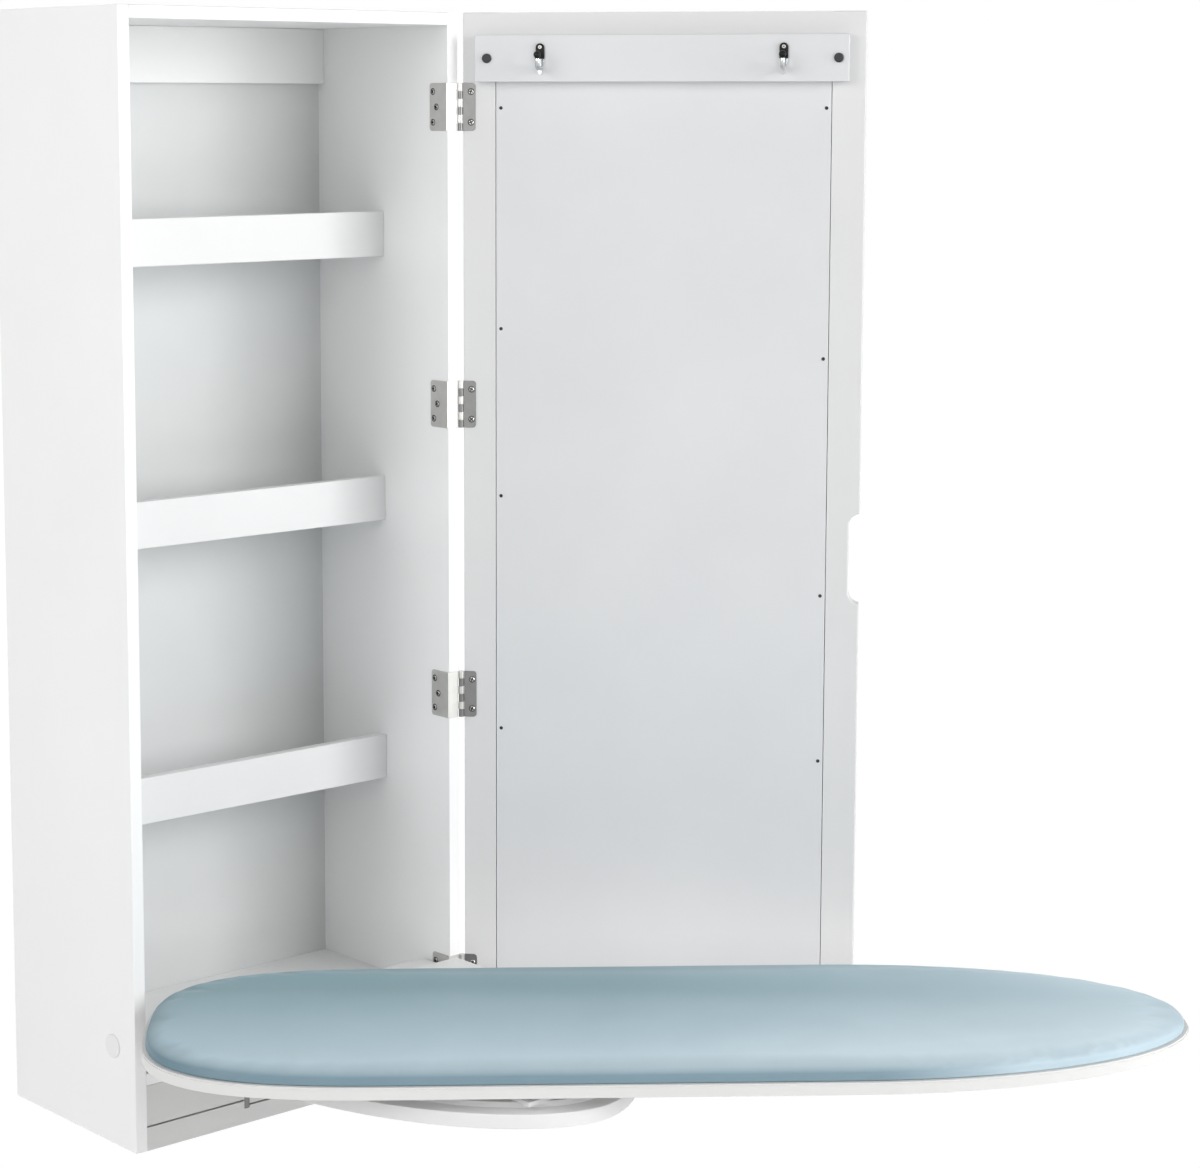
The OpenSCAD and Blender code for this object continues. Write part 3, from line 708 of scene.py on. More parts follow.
@dataclass
class CrossHeadScrews:
    """A set of countersunk screw heads with a cross recess, made by one node tree, with discs that paint
    shade in each recess and a shadow ring round each head.
    """

    head_r_mm: float = 2.6
    head_h_mm: float = 0.8
    recess_mm: float = 3.2
    recess_w_mm: float = 0.9
    # Width of the painted shadow ring round a head.
    shadow_ring_mm: float = 0.5
    seed: int = 7
    sides: int = 28
    disc_mm: float = 0.1
    top_share: float = 0.72
    # Radius share of the painted shade disc in the recess.
    recess_shade_share: float = 0.7
    recess_level: float = 0.9
    # Heights of the painted shade disc in the recess and of the painted shadow ring.
    recess_shade_level: float = 0.56
    shadow_ring_level: float = 0.2

    def tree(self, material: Material, painted_shade: Material) -> Tree:
        """Builds the node tree that puts a head on every point.

        Args:
            material: the finish of the heads.
            painted_shade: the finish of the thin discs that paint the shade in the recess and the shadow
                ring round a head.

        Returns:
            The geometry tree, with its sizes as named inputs.
        """
        tree = bpy.data.node_groups.new("cross_head_screws", "GeometryNodeTree")
        face = tree.interface
        face.new_socket("Seats", in_out="INPUT", socket_type="NodeSocketGeometry")
        sizes = {"Head Radius": self.head_r_mm, "Head Height": self.head_h_mm,
                 "Recess Length": self.recess_mm, "Recess Width": self.recess_w_mm,
                 "Shadow Ring": self.shadow_ring_mm}
        for name, size in sizes.items():
            face.new_socket(name, in_out="INPUT", socket_type="NodeSocketFloat").default_value = size * MM
        face.new_socket("Seed", in_out="INPUT", socket_type="NodeSocketInt").default_value = self.seed
        face.new_socket("Heads", in_out="OUTPUT", socket_type="NodeSocketGeometry")
        given = add_node(tree, "NodeGroupInput").outputs

        def lifted(shape: Socket, level: float, turn: float = 0.0) -> Socket:
            """Raises a shape to its place in a head.

            Args:
                shape: the geometry.
                level: the share of the head's height that it is raised by.
                turn: the angle that it is turned by.

            Returns:
                The moved geometry.
            """
            rise = add_node(tree, "ShaderNodeMath", {1: level}, {0: given["Head Height"]},
                            operation="MULTIPLY")
            by = add_node(tree, "ShaderNodeCombineXYZ", links={"Z": rise.outputs["Value"]})
            moved = add_node(tree, "GeometryNodeTransform", {"Rotation": (0.0, 0.0, turn)},
                             {"Geometry": shape, "Translation": by.outputs["Vector"]})
            return moved.outputs["Geometry"]

        top = add_node(tree, "ShaderNodeMath", {1: self.top_share}, {0: given["Head Radius"]},
                       operation="MULTIPLY")
        head = add_node(tree, "GeometryNodeMeshCone", {"Vertices": self.sides},
                        {"Radius Bottom": given["Head Radius"], "Radius Top": top.outputs["Value"],
                         "Depth": given["Head Height"]})
        cut_size = add_node(tree, "ShaderNodeCombineXYZ",
                            links={"X": given["Recess Length"], "Y": given["Recess Width"],
                                   "Z": given["Head Height"]})
        slot = add_node(tree, "GeometryNodeMeshCube", links={"Size": cut_size.outputs["Vector"]})
        cut = add_node(tree, "GeometryNodeMeshBoolean", links={"Mesh 1": head.outputs["Mesh"]},
                       operation="DIFFERENCE", solver="EXACT")
        for turn in (0.0, math.pi / 2):
            tree.links.new(lifted(slot.outputs["Mesh"], self.recess_level, turn), cut.inputs["Mesh 2"])
        bright = add_node(tree, "GeometryNodeSetMaterial", {"Material": material},
                          {"Geometry": cut.outputs["Mesh"]})
        # Thin discs in the second finish paint shade: a ring round the head's foot stands for the shadow in
        # the countersink gap, and a disc inside the cross for the shade at the recess's bottom.
        shadow_ring_radius = add_node(tree, "ShaderNodeMath", links={0: given["Head Radius"], 1: given["Shadow Ring"]},
                       operation="ADD")
        recess_shade_radius = add_node(tree, "ShaderNodeMath", {1: self.recess_shade_share}, {0: given["Head Radius"]},
                       operation="MULTIPLY")
        painted_shade_discs = add_node(tree, "GeometryNodeJoinGeometry")
        for radius, level in ((shadow_ring_radius, self.shadow_ring_level), (recess_shade_radius, self.recess_shade_level)):
            disc = add_node(tree, "GeometryNodeMeshCylinder",
                            {"Vertices": self.sides, "Depth": self.disc_mm * MM},
                            {"Radius": radius.outputs["Value"]})
            tree.links.new(lifted(disc.outputs["Mesh"], level), painted_shade_discs.inputs["Geometry"])
        shade = add_node(tree, "GeometryNodeSetMaterial", {"Material": painted_shade},
                         {"Geometry": painted_shade_discs.outputs["Geometry"]})
        whole = add_node(tree, "GeometryNodeJoinGeometry")
        for piece in (bright, shade):
            tree.links.new(piece.outputs["Geometry"], whole.inputs["Geometry"])
        spin = add_node(tree, "FunctionNodeRandomValue", {"Max": math.pi},
                        {"Seed": given["Seed"]}, data_type="FLOAT")
        turned = add_node(tree, "ShaderNodeCombineXYZ", links={"Z": spin.outputs[1]})
        aim = add_node(tree, "GeometryNodeInputNamedAttribute", {"Name": "out"}, data_type="FLOAT_VECTOR")
        facing = add_node(tree, "FunctionNodeAlignRotationToVector",
                          links={"Vector": aim.outputs["Attribute"]}, axis="Z")
        points = add_node(tree, "GeometryNodeMeshToPoints", links={"Mesh": given["Seats"]})
        placed = add_node(tree, "GeometryNodeInstanceOnPoints",
                          links={"Points": points.outputs["Points"], "Instance": whole.outputs["Geometry"],
                                 "Rotation": facing.outputs["Rotation"]})
        spun = add_node(tree, "GeometryNodeRotateInstances",
                        links={"Instances": placed.outputs["Instances"],
                               "Rotation": turned.outputs["Vector"]})
        real = add_node(tree, "GeometryNodeRealizeInstances", links={"Geometry": spun.outputs["Instances"]})
        add_node(tree, "NodeGroupOutput", links={"Heads": real.outputs["Geometry"]})
        return tree

    def build(
        self,
        name: str,
        seats: list[Vector],
        out: Vector,
        material: Material,
        painted_shade: Material,
        body: Body,
        replaced: str | None = None,
    ) -> Piece:
        """Makes the heads as one piece.

        Args:
            name: the piece's name.
            seats: the middle of each head.
            out: the way that the heads face.
            material: their finish.
            painted_shade: the finish that paints the shade in their recesses and the shadow rings round
                them.
            body: the body that they ride on.
            replaced: the CAD node that they stand for, if any.

        Returns:
            The finished piece.
        """
        mesh = bpy.data.meshes.new(name)
        low = out.normalized() * (self.head_h_mm * MM / 2)
        mesh.from_pydata([seat - low for seat in seats], [], [])
        aim = mesh.attributes.new("out", "FLOAT_VECTOR", "POINT")
        aim.data.foreach_set("vector", [c for _ in seats for c in out])
        piece = new_object(name, mesh)
        heads = piece.modifiers.new("heads", "NODES")
        heads.node_group = self.tree(material, painted_shade)
        settled(piece)
        if replaced:
            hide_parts(replaced)
        place_on(piece, body)
        return piece


# ---- the cabinet -------------------------------------------------------------


@dataclass
class Carcass:
    """The fixed box: side, top, floor and back panels, rails and shelves."""

    finishes: Finishes
    ease_mm: float = 0.9
    outer: tuple[str, ...] = ("left_side", "right_side", "top_panel", "floor_panel", "hanging_rail", "deck")
    kick_painted_shade: tuple[str, ...] = ("apron", "base_rail")
    shelf_count: int = 3

    def build(self) -> None:
        """Dresses the fixed panels."""
        for node in self.outer:
            eased(node, self.finishes.carcass, Body.CABINET, self.ease_mm)
        # The apron and base rail take the greyer lacquer copy, painted shade under the board.
        for node in self.kick_painted_shade:
            eased(node, self.finishes.kick_painted_shade, Body.CABINET, self.ease_mm / 2)
        eased("back_panel", self.finishes.laminate, Body.CABINET, ease_mm=0.2)
        # Shelves and shelf bars take the greyer lacquer copy, painted shade inside the cabinet.
        for i in range(1, self.shelf_count + 1):
            eased(f"shelf_{i}", self.finishes.inner, Body.CABINET, self.ease_mm / 2)
            eased(f"shelf_bar_{i}", self.finishes.inner, Body.CABINET, self.ease_mm, steps=3)


@dataclass
class FoldAxle:
    """The two bolts that the leaf folds on, their caps and the roller catches."""

    finishes: Finishes

    def build(self) -> None:
        """Dresses the bolts, the caps and the catches."""
        for side in ("left", "right"):
            eased(f"axle_{side}", self.finishes.zinc, Body.CABINET, ease_mm=0.4)
            eased(f"axle_cap_{side}", self.finishes.cap, Body.CABINET, ease_mm=0.5, steps=3)
            eased(f"catch_{side}", self.finishes.dull_nickel, Body.CABINET, ease_mm=0.6, steps=3)


@dataclass
class ButtHinges:
    """Four hinges, each a wrapped frame leaf, a door leaf, a pin and screw heads."""

    finishes: Finishes
    count: int = 4
    ease_mm: float = 0.35
    proud_mm: float = 0.3

    def build(self) -> None:
        """Dresses the leaves and pins and sets the screws."""
        for i in range(1, self.count + 1):
            eased(f"frame_leaf_{i}", self.finishes.nickel, Body.CABINET, self.ease_mm)
            eased(f"hinge_pin_{i}", self.finishes.nickel, Body.CABINET, self.ease_mm)
            eased(f"door_leaf_{i}", self.finishes.dull_nickel, Body.DOOR, self.ease_mm)
        # Each set's second finish paints the shade in the recesses and the shadow rings round the heads.
        screws = CrossHeadScrews(recess_mm=3.6, recess_w_mm=1.3)
        screws.build("frame_hinge_heads", solid_centres("frame_hinge_screws"), Vector((-1, 0, 0)),
                     self.finishes.screw, self.finishes.painted_shade_and_reflection, Body.CABINET, "frame_hinge_screws")
        out = door_ways()[1]
        seats = [seat + out * (self.proud_mm * MM) for seat in solid_centres("door_hinge_screws")]
        screws.build("door_hinge_heads", seats, out, self.finishes.screw, self.finishes.dark_screw,
                     Body.DOOR, "door_hinge_screws")


def door_ways() -> tuple[Vector, Vector]:
    """Finds how the opened door stands.

    Returns:
        Two level unit vectors: from the hinge along the door, and out of its inner face.
    """
    pane = [v.co.xy for v in frame["nodes"]["mirror_pane"].data.vertices]
    hinge = joint_place("door_hinge").xy
    near = min(pane, key=lambda c: (c - hinge).length)
    far = max(pane, key=lambda c: (c - near).length)
    thin = min((c for c in pane if (c - far).length > SAME_SPOT), key=lambda c: (c - far).length)
    out = (thin - far).to_3d().normalized()
    along = Vector((-out.y, out.x, 0.0))
    if along.xy.dot(far - near) < 0:
        along = -along
    low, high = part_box("hook_rail")
    if out.xy.dot((low + high).xy / 2 - far) < 0:
        out = -out
    return along, out


def joint_place(name: str) -> Vector:
    """Reads where a joint of the frame stands."""
    return Vector(next(j for j in frame["joints"] if j["name"] == name)["pos_m"])


@dataclass
class Door:
    """The mirror door: frame, backing, mirror pane, hook rail, hooks and bumpers."""

    finishes: Finishes
    ease_mm: float = 1.0
    plate_mm: float = 1.6
    screw_drop_mm: float = 3.4
    screw_proud_mm: float = 0.7
    # Share of a hook's height above which it takes the painted reflection.
    split: float = 0.5

    def build(self) -> None:
        """Dresses the door's pieces."""
        along, out = door_ways()
        hinge = joint_place("door_hinge")
        rail = [(v.co - hinge).dot(along) for v in frame["nodes"]["door_rail_top"].data.vertices]
        seams = (min(rail), max(rail))

        def glued(spot: Vector) -> bool:
            """Tells if a point lies where a rail meets a stile."""
            return any(abs((spot - hinge).dot(along) - seam) < WELD * 10 for seam in seams)

        for node in ("hinge_stile", "pull_stile", "door_rail_top", "door_rail_foot"):
            eased(node, self.finishes.door_paint, Body.DOOR, self.ease_mm, joint=glued)
        eased("hook_rail", self.finishes.door_back, Body.DOOR, self.ease_mm / 2)
        eased("door_backing", self.finishes.door_back, Body.DOOR, ease_mm=0.25)
        eased("mirror_pane", self.finishes.mirror, Body.DOOR, ease_mm=0.4)
        for side in ("left", "right"):
            eased(f"bumper_{side}", self.finishes.rubber, Body.DOOR, ease_mm=0.3)
            self.hook(f"hook_{side}", out)
        # The second finish paints the shade in the recesses and the shadow rings round the heads.
        small = CrossHeadScrews(head_r_mm=1.9, head_h_mm=0.6, recess_mm=2.0, recess_w_mm=0.5, shadow_ring_mm=0.2,
                                seed=11)
        small.build("backing_heads", solid_centres("backing_screws"), out,
                    self.finishes.dark_screw, self.finishes.rubber, Body.DOOR, "backing_screws")

    def hook(self, node: str, out: Vector) -> None:
        """Dresses a hook: plate and tip above the split in near-black steel, a painted reflection of dim
        surroundings in the chrome; arm and foot in bright chrome; one screw head.

        Args:
            node: the hook's CAD node.
            out: the way that the door's inner face looks.
        """
        low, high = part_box(node)
        split = low.z + (high.z - low.z) * self.split
        piece = eased(node, self.finishes.chrome, Body.DOOR, ease_mm=0.3, steps=3, cut=split)
        mesh = piece.data
        # The upper half takes the near-black steel as a painted reflection; the lower half stays chrome.
        mesh.materials.append(self.finishes.painted_shade_and_reflection)
        for face in mesh.polygons:
            face.material_index = int(face.center.z > split)
        back = min(v.co.dot(out) for v in mesh.vertices)
        plate = [v.co for v in mesh.vertices if v.co.dot(out) < back + self.plate_mm * MM * 0.5]
        seat = sum(plate, Vector()) / len(plate)
        seat += out * (back + self.plate_mm * MM - seat.dot(out))
        seat.z = high.z - self.screw_drop_mm * MM
        # The screw's second finish paints the shade in its recess and the shadow ring round it.
        screw = CrossHeadScrews(head_r_mm=2.0, head_h_mm=0.7, recess_mm=1.8, recess_w_mm=0.45, seed=3)
        screw.build(f"{node}_head", [seat + out * (self.screw_proud_mm * MM)], out,
                    self.finishes.screw, self.finishes.painted_shade_and_reflection, Body.DOOR)


# ---- leaf and swivel ---------------------------------------------------------


@dataclass
class SupportLeaf:
    """The fold-down leaf with its hinge blocks, spacer and ball bearing."""

    finishes: Finishes

    def build(self) -> None:
        """Dresses the leaf and the bearing."""
        # The leaf's pieces take the greyer lacquer copy, painted shade under the board.
        eased("support_leaf", self.finishes.leaf_painted_shade, Body.LEAF, ease_mm=2.4, steps=4)
        eased("leaf_spacer", self.finishes.leaf_painted_shade, Body.LEAF, ease_mm=1.2, steps=3)
        for side in ("left", "right"):
            eased(f"hinge_block_{side}", self.finishes.leaf_painted_shade, Body.LEAF)
        eased("bearing_lower", self.finishes.zinc, Body.LEAF, ease_mm=0.3)
        eased("race_lower", self.finishes.zinc, Body.LEAF, ease_mm=0.15)
        eased("swivel_bolt", self.finishes.nickel, Body.LEAF, ease_mm=0.5)
        balls = frame["nodes"]["bearing_balls"].data.materials
        balls.clear()
        balls.append(self.finishes.chrome)


@dataclass(frozen=True)
class PaintedClothShading:
    """Painted light and shade on the cover's colour, by the shares along, across and up that spread() finds.

    Its numbers are fitted to the tones of the cover in the photograph.
    """

    at_heel: float = 0.29
    nose_start: float = 0.45
    nose_rise: float = 0.88
    far_fall: float = 0.49
    bow: float = 0.46
    gather_highlight: float = 0.7
    trough_shade: float = 0.08
    tip_start: float = 0.8
    tip_reach: float = 0.2
    tip_painted_light: float = 0.35
    tip_middle: float = 0.3
    trough_far: float = 0.62
    trough_slant: float = 0.5
    trough_width: float = 0.26
    # Painted shade on the side wall, and its fade towards the nose.
    wall_shade_top: float = 0.84
    wall_shade_reach: float = 0.4
    wall_shade_fade: float = 0.6
    wall_fade_start: float = 0.68
    wall_fade_reach: float = 0.14

    def trough(self, along: float, across: float) -> float:
        """Gives the depth share of the long trough that runs from the heel's far side to the middle."""
        return math.exp(-((across - self.trough_far + self.trough_slant * along) / self.trough_width) ** 2)

    def painted_light(self, along: float, across: float, fold: float) -> float:
        """Finds how much painted light, rather than painted shade, shows at a point.

        Args:
            along: 0 at the heel to 1 at the nose.
            across: -1 at the near side to 1 at the far side.
            fold: the height share of a gather there.

        Returns:
            0 for full painted shade to 1 for full painted light.
        """
        # Painted light rises towards the nose and falls towards the far side; gathers and the tip get
        # painted light, and the trough painted shade over its real depth.
        share = self.at_heel + self.nose_rise * max(0.0, along - self.nose_start)
        share = share - self.far_fall * across + self.bow * across ** 2 * along
        share = min(1.0, share) + self.gather_highlight * max(0.0, fold)
        share -= self.trough_shade * self.trough(along, across)
        tip = risen(along, self.tip_start, self.tip_reach)
        return clamped(share + self.tip_painted_light * tip * (self.tip_middle + across))

    def painted_wall_shade(self, along: float, level: float) -> float:
        """Gives the share of painted shade on the cover's side wall, which fades towards the nose, where
        that wall is lit.
        """
        side = clamped((self.wall_shade_top - level) / self.wall_shade_reach)
        return side * (1.0 - self.wall_shade_fade * risen(along, self.wall_fade_start, self.wall_fade_reach))


COVER_CLOTH = {
    "quality": 6,
    "mass": 0.25,
    "tension_stiffness": 40,
    "compression_stiffness": 20,
    "bending_stiffness": 2.0,
    "use_pressure": True,
    "uniform_pressure_force": 3.0,
    "vertex_group_mass": "held",
}


@dataclass
class IroningBoard:
    """The swivelling board: panel, upper bearing half and padded cover.

    pucker_near, pucker_nose and trough_rise pair where a rise starts with its reach, and
    pucker_tip where the fall to the tip ends with its reach, in the shares that spread()
    finds. tuck pairs an inset with its level on the cover's turned-in foot.
    """

    finishes: Finishes
    around: int = 512
    tuck_mm: float = 2.0
    tuck: tuple[tuple[float, float], ...] = ((0.5, 0.0), (0.2, 0.05), (0.0, 0.15))
    roll_mm: float = 15.0
    roll_angles: tuple[int, ...] = (0, 12, 24, 36, 48, 60, 72)
    wall: float = 0.42
    shoulder: float = 0.88
    rounds: int = 20
    top_share: float = 0.955
    held_mm: float = 1.5
    cap_mm: float = 1.6
    sim_frames: int = 20
    pucker_mm: float = 0.8
    pucker_w_mm: float = 7.5
    pucker_level: float = 0.64
    pucker_band: float = 0.2
    pucker_least: float = 0.1
    pucker_near: tuple[float, float] = (0.15, 0.25)
    pucker_nose: tuple[float, float] = (0.66, 0.14)
    pucker_tip: tuple[float, float] = (0.97, 0.06)
    trough_mm: float = 2.0
    trough_rise: tuple[float, float] = (0.6, 0.2)
    outline_passes: int = 6
    seed: int = 5
    # Painted light and shade on the cover; its trough shape also sets the real trough's depth.
    lie: PaintedClothShading = PaintedClothShading()

    def build(self) -> None:
        """Dresses the panel and makes the cover."""
        eased("board_panel", self.finishes.board_paint, Body.BOARD, ease_mm=1.6, steps=3)
        eased("bearing_upper", self.finishes.zinc, Body.BOARD, ease_mm=0.3)
        eased("race_upper", self.finishes.zinc, Body.BOARD, ease_mm=0.15)
        self.cover()

    def heading(self) -> Matrix:
        """Finds the board's own frame, with +X from the swivel to the nose.

        Returns:
            The matrix from the board's frame to the row frame.
        """
        pivot = joint_place("board_swivel")
        points = [v.co for v in frame["nodes"]["board_pad"].data.vertices]
        nose = max(points, key=lambda c: (c.xy - pivot.xy).length)
        turn = math.atan2(nose.y - pivot.y, nose.x - pivot.x)
        base = Vector((pivot.x, pivot.y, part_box("board_pad")[0].z))
        return Matrix.Translation(base) @ Matrix.Rotation(turn, 4, "Z")

    def outline(self, place: Matrix) -> list[Vector]:
        """Reads the pad's outline from its CAD solid, as even steps from the nose tip.

        Args:
            place: the board's frame.

        Returns:
            Points in the board's frame, symmetric about its long axis.
        """
        away = place.inverted()
        flat = sorted({(round(p.x, 6), round(abs(p.y), 6))
                       for p in (away @ v.co for v in frame["nodes"]["board_pad"].data.vertices)})
        upper: list[tuple[float, float]] = []
        for point in flat:
            while len(upper) > 1:
                (ax, ay), (bx, by) = upper[-2], upper[-1]
                if (bx - ax) * (point[1] - ay) - (by - ay) * (point[0] - ax) < 0:
                    break
                upper.pop()
            upper.append(point)
        upper[0] = (upper[0][0], 0.0)
        half = [Vector((x, y)) for x, y in reversed(upper)]
        if half[0].y > ON_AXIS:
            half.insert(0, Vector((half[0].x, 0.0)))
        else:
            half[0].y = 0.0
        lengths = [0.0]
        for a, b in zip(half, half[1:]):
            lengths.append(lengths[-1] + (b - a).length)
        steps = self.around // 2
        even = []
        span = 0
        for i in range(steps + 1):
            want = lengths[-1] * i / steps
            while span < len(half) - 2 and lengths[span + 1] < want:
                span += 1
            share = (want - lengths[span]) / max(lengths[span + 1] - lengths[span], NO_LENGTH)
            even.append(half[span].lerp(half[span + 1], share))
        ring = even + [Vector((p.x, -p.y)) for p in reversed(even[1:-1])]
        for _ in range(self.outline_passes):
            ring = [(ring[i - 1] + ring[i] * 2 + ring[(i + 1) % len(ring)]) / 4 for i in range(len(ring))]
        return [Vector((p.x, p.y, 0.0)) for p in ring]

    def profile(self, height: float) -> list[tuple[float, float]]:
        """Lists the cover's side, from its lower edge up to its shoulder.

        Args:
            height: the pad's height.

        Returns:
            Pairs of inset from the outline and height, in metres.
        """
        rows = [(share * self.tuck_mm * MM, height * level) for share, level in self.tuck]
        wall = height * self.wall
        reach = height * self.shoulder - wall
        for degrees in self.roll_angles:
            angle = math.radians(degrees)
            rows.append((self.roll_mm * MM * (1 - math.cos(angle)), wall + reach * math.sin(angle)))
        return rows

    def shell(self, place: Matrix) -> bmesh.types.BMesh:
        """Builds the closed cover in the board's frame, crowned to its middle.

        Args:
            place: the board's frame.

        Returns:
            A bmesh of rings, with even quads over the top.
        """
        low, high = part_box("board_pad")
        height = high.z - low.z
        ring = self.outline(place)
        half_w = max(p.y for p in ring)
        nose = max(p.x for p in ring)
        heel = min(p.x for p in ring)
        rows = self.profile(height)
        edge_in, edge_z = rows[-1]
        shares = [(inset / half_w, z) for inset, z in rows]
        first = edge_in / half_w
        for k in range(1, self.rounds + 1):
            t = k / self.rounds
            rise = (height - edge_z) * (1 - (1 - t) ** 3)
            shares.append((first + (self.top_share - first) * t, edge_z + rise))
        feet = [Vector((min(max(p.x, heel + half_w), nose - half_w), 0.0, 0.0)) for p in ring]
        made = bmesh.new()
        rings = []
        for share, z in shares:
            rings.append([made.verts.new(p.lerp(f, share) + Vector((0, 0, z))) for p, f in zip(ring, feet)])
        count = len(ring)
        for lower, upper in zip(rings, rings[1:]):
            for i in range(count):
                j = (i + 1) % count
                made.faces.new((lower[i], lower[j], upper[j], upper[i]))
        self.ladder(made, rings[-1], False)
        self.ladder(made, rings[0], True)
        bmesh.ops.recalc_face_normals(made, faces=made.faces)
        return made

    @staticmethod
    def ladder(made: bmesh.types.BMesh, ring: list[bmesh.types.BMVert], flip: bool) -> None:
        """Closes a symmetric ring with rungs across it.

        Args:
            made: the mesh.
            ring: its vertices from the nose tip round.
            flip: True for the underside.
        """
        count = len(ring)
        for i in range(count // 2):
            corners = [ring[i], ring[i + 1], ring[(count - i - 1) % count], ring[(count - i) % count]]
            unique = list(dict.fromkeys(corners))
            if len(unique) > 2:
                made.faces.new(unique[::-1] if flip else unique)

    def inflate(self, piece: Piece) -> None:
        """Lets cloth under pressure find the cover's shape, held at its foot and within a cap.

        Args:
            piece: the cover, in the board's frame.
        """
        scene = bpy.context.scene
        start = [v.co.copy() for v in piece.data.vertices]
        held = piece.vertex_groups.new(name="held")
        held.add([i for i, c in enumerate(start) if c.z < self.held_mm * MM], 1.0, "REPLACE")
        cloth = piece.modifiers.new("cloth", "CLOTH")
        for name, value in COVER_CLOTH.items():
            setattr(cloth.settings, name, value)
        cloth.settings.effector_weights.gravity = 0
        cloth.collision_settings.use_self_collision = False
        cloth.point_cache.frame_start = 1
        cloth.point_cache.frame_end = self.sim_frames
        for step in range(1, self.sim_frames + 1):
            scene.frame_set(step)
        settled(piece)
        scene.frame_set(1)
        limit = self.cap_mm * MM
        for vert, was in zip(piece.data.vertices, start):
            moved = vert.co - was
            if moved.length > 0:
                vert.co = was + moved * (math.tanh(moved.length / limit) * limit / moved.length)

    def spread(self, mesh: Mesh) -> list[tuple[float, float, float]]:
        """Finds where each point of the cover sits on the board.

        Args:
            mesh: the cover's mesh, in the board's frame.

        Returns:
            For each point: 0 at the heel to 1 at the nose, -1 at the near side to 1 at the
            far side, and 0 at the pad's foot to 1 at its top.
        """
        spots = [v.co for v in mesh.vertices]
        heel = min(c.x for c in spots)
        length = max(c.x for c in spots) - heel
        half_w = max(c.y for c in spots)
        top = max(c.z for c in spots)
        return [((c.x - heel) / length, c.y / half_w, c.z / top) for c in spots]

    def gathers(self, mesh: Mesh, lay: list[tuple[float, float, float]]) -> list[float]:
        """Finds how high the gathers on the cover's side stand at each point.

        Args:
            mesh: the cover's mesh, in the board's frame.
            lay: what spread() gave.

        Returns:
            Values from about -1 to 1, strongest on the near side of the nose.
        """
        grain = per_metre(self.pucker_w_mm)
        tip, reach = self.pucker_tip
        found = []
        for vert, (along, across, level) in zip(mesh.vertices, lay):
            band = max(0.0, 1.0 - abs(level - self.pucker_level) / self.pucker_band)
            near_side = risen(-across, *self.pucker_near)
            nose = max(self.pucker_least, risen(along, *self.pucker_nose)) * clamped((tip - along) / reach)
            flat = Vector((vert.co.x, vert.co.y, self.seed * MM))
            found.append(noise.noise(flat * grain) * band * nose * near_side)
        return found

    def work(self, mesh: Mesh, lay: list[tuple[float, float, float]], folds: list[float]) -> None:
        """Presses a shallow trough along the far side and raises the gathers.

        Args:
            mesh: the cover's mesh, in the board's frame.
            lay: what spread() gave.
            folds: what gathers() gave.
        """
        moves = []
        for vert, (along, across, level), fold in zip(mesh.vertices, lay, folds):
            depth = math.sin(math.pi * clamped(along)) ** 0.5 * risen(level, *self.trough_rise)
            depth *= self.trough_mm * MM * self.lie.trough(along, across)
            moves.append(vert.normal * (fold * self.pucker_mm * MM) - Vector((0.0, 0.0, depth)))
        for vert, move in zip(mesh.vertices, moves):
            vert.co += move

    def map_cloth(self, mesh: Mesh, lay: list[tuple[float, float, float]], folds: list[float]) -> None:
        """Lays the weave's map, and the map of painted light and painted wall shade.

        Args:
            mesh: the cover's mesh, in the board's frame.
            lay: what spread() gave.
            folds: what gathers() gave.
        """
        top = max(v.co.z for v in mesh.vertices)
        weave, painted_shares = [], []
        for vert, (along, across, level), fold in zip(mesh.vertices, lay, folds):
            spot = vert.co
            weave.append((spot.x, spot.y + math.copysign(top - spot.z, spot.y)))
            painted_shares.append((self.lie.painted_light(along, across, fold), self.lie.painted_wall_shade(along, level)))
        for name, values in ((WEAVE_MAP, weave), (PAINTED_SHADING_MAP, painted_shares)):
            layer = mesh.uv_layers.new(name=name)
            layer.data.foreach_set("uv", [c for loop in mesh.loops for c in values[loop.vertex_index]])

    def cover(self) -> None:
        place = self.heading()
        made = self.shell(place)
        mesh = bpy.data.meshes.new("padded_cover")
        made.to_mesh(mesh)
        made.free()
        piece = new_object("padded_cover", mesh)
        self.inflate(piece)
        smooth = piece.modifiers.new("smooth", "SUBSURF")
        smooth.levels = 1
        smooth.render_levels = 1
        settled(piece)
        mesh = piece.data
        lay = self.spread(mesh)
        folds = self.gathers(mesh, lay)
        self.work(mesh, lay, folds)
        self.map_cloth(mesh, lay, folds)
        mesh.transform(place)
        for face in mesh.polygons:
            face.use_smooth = True
        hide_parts("board_pad")
        assign(piece, self.finishes.cover, Body.BOARD)


# ---- studio ------------------------------------------------------------------


@dataclass(frozen=True)
class Softbox:
    """A soft square lamp that looks at the middle of the object."""

    name: str
    place: tuple[float, float, float]
    watts: float
    side: float = 2.0

    def hang(self) -> None:
        """Makes the lamp and turns it to the object."""
        data = bpy.data.lights.new(self.name, "AREA")
        data.shape = "SQUARE"
        data.size = self.side
        data.energy = self.watts
        lamp = bpy.data.objects.new(self.name, data)
        bpy.context.scene.collection.objects.link(lamp)
        lamp.location = self.place
        low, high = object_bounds()
        look = (low + high) / 2 - Vector(self.place)
        lamp.rotation_euler = look.to_track_quat("-Z", "Y").to_euler()


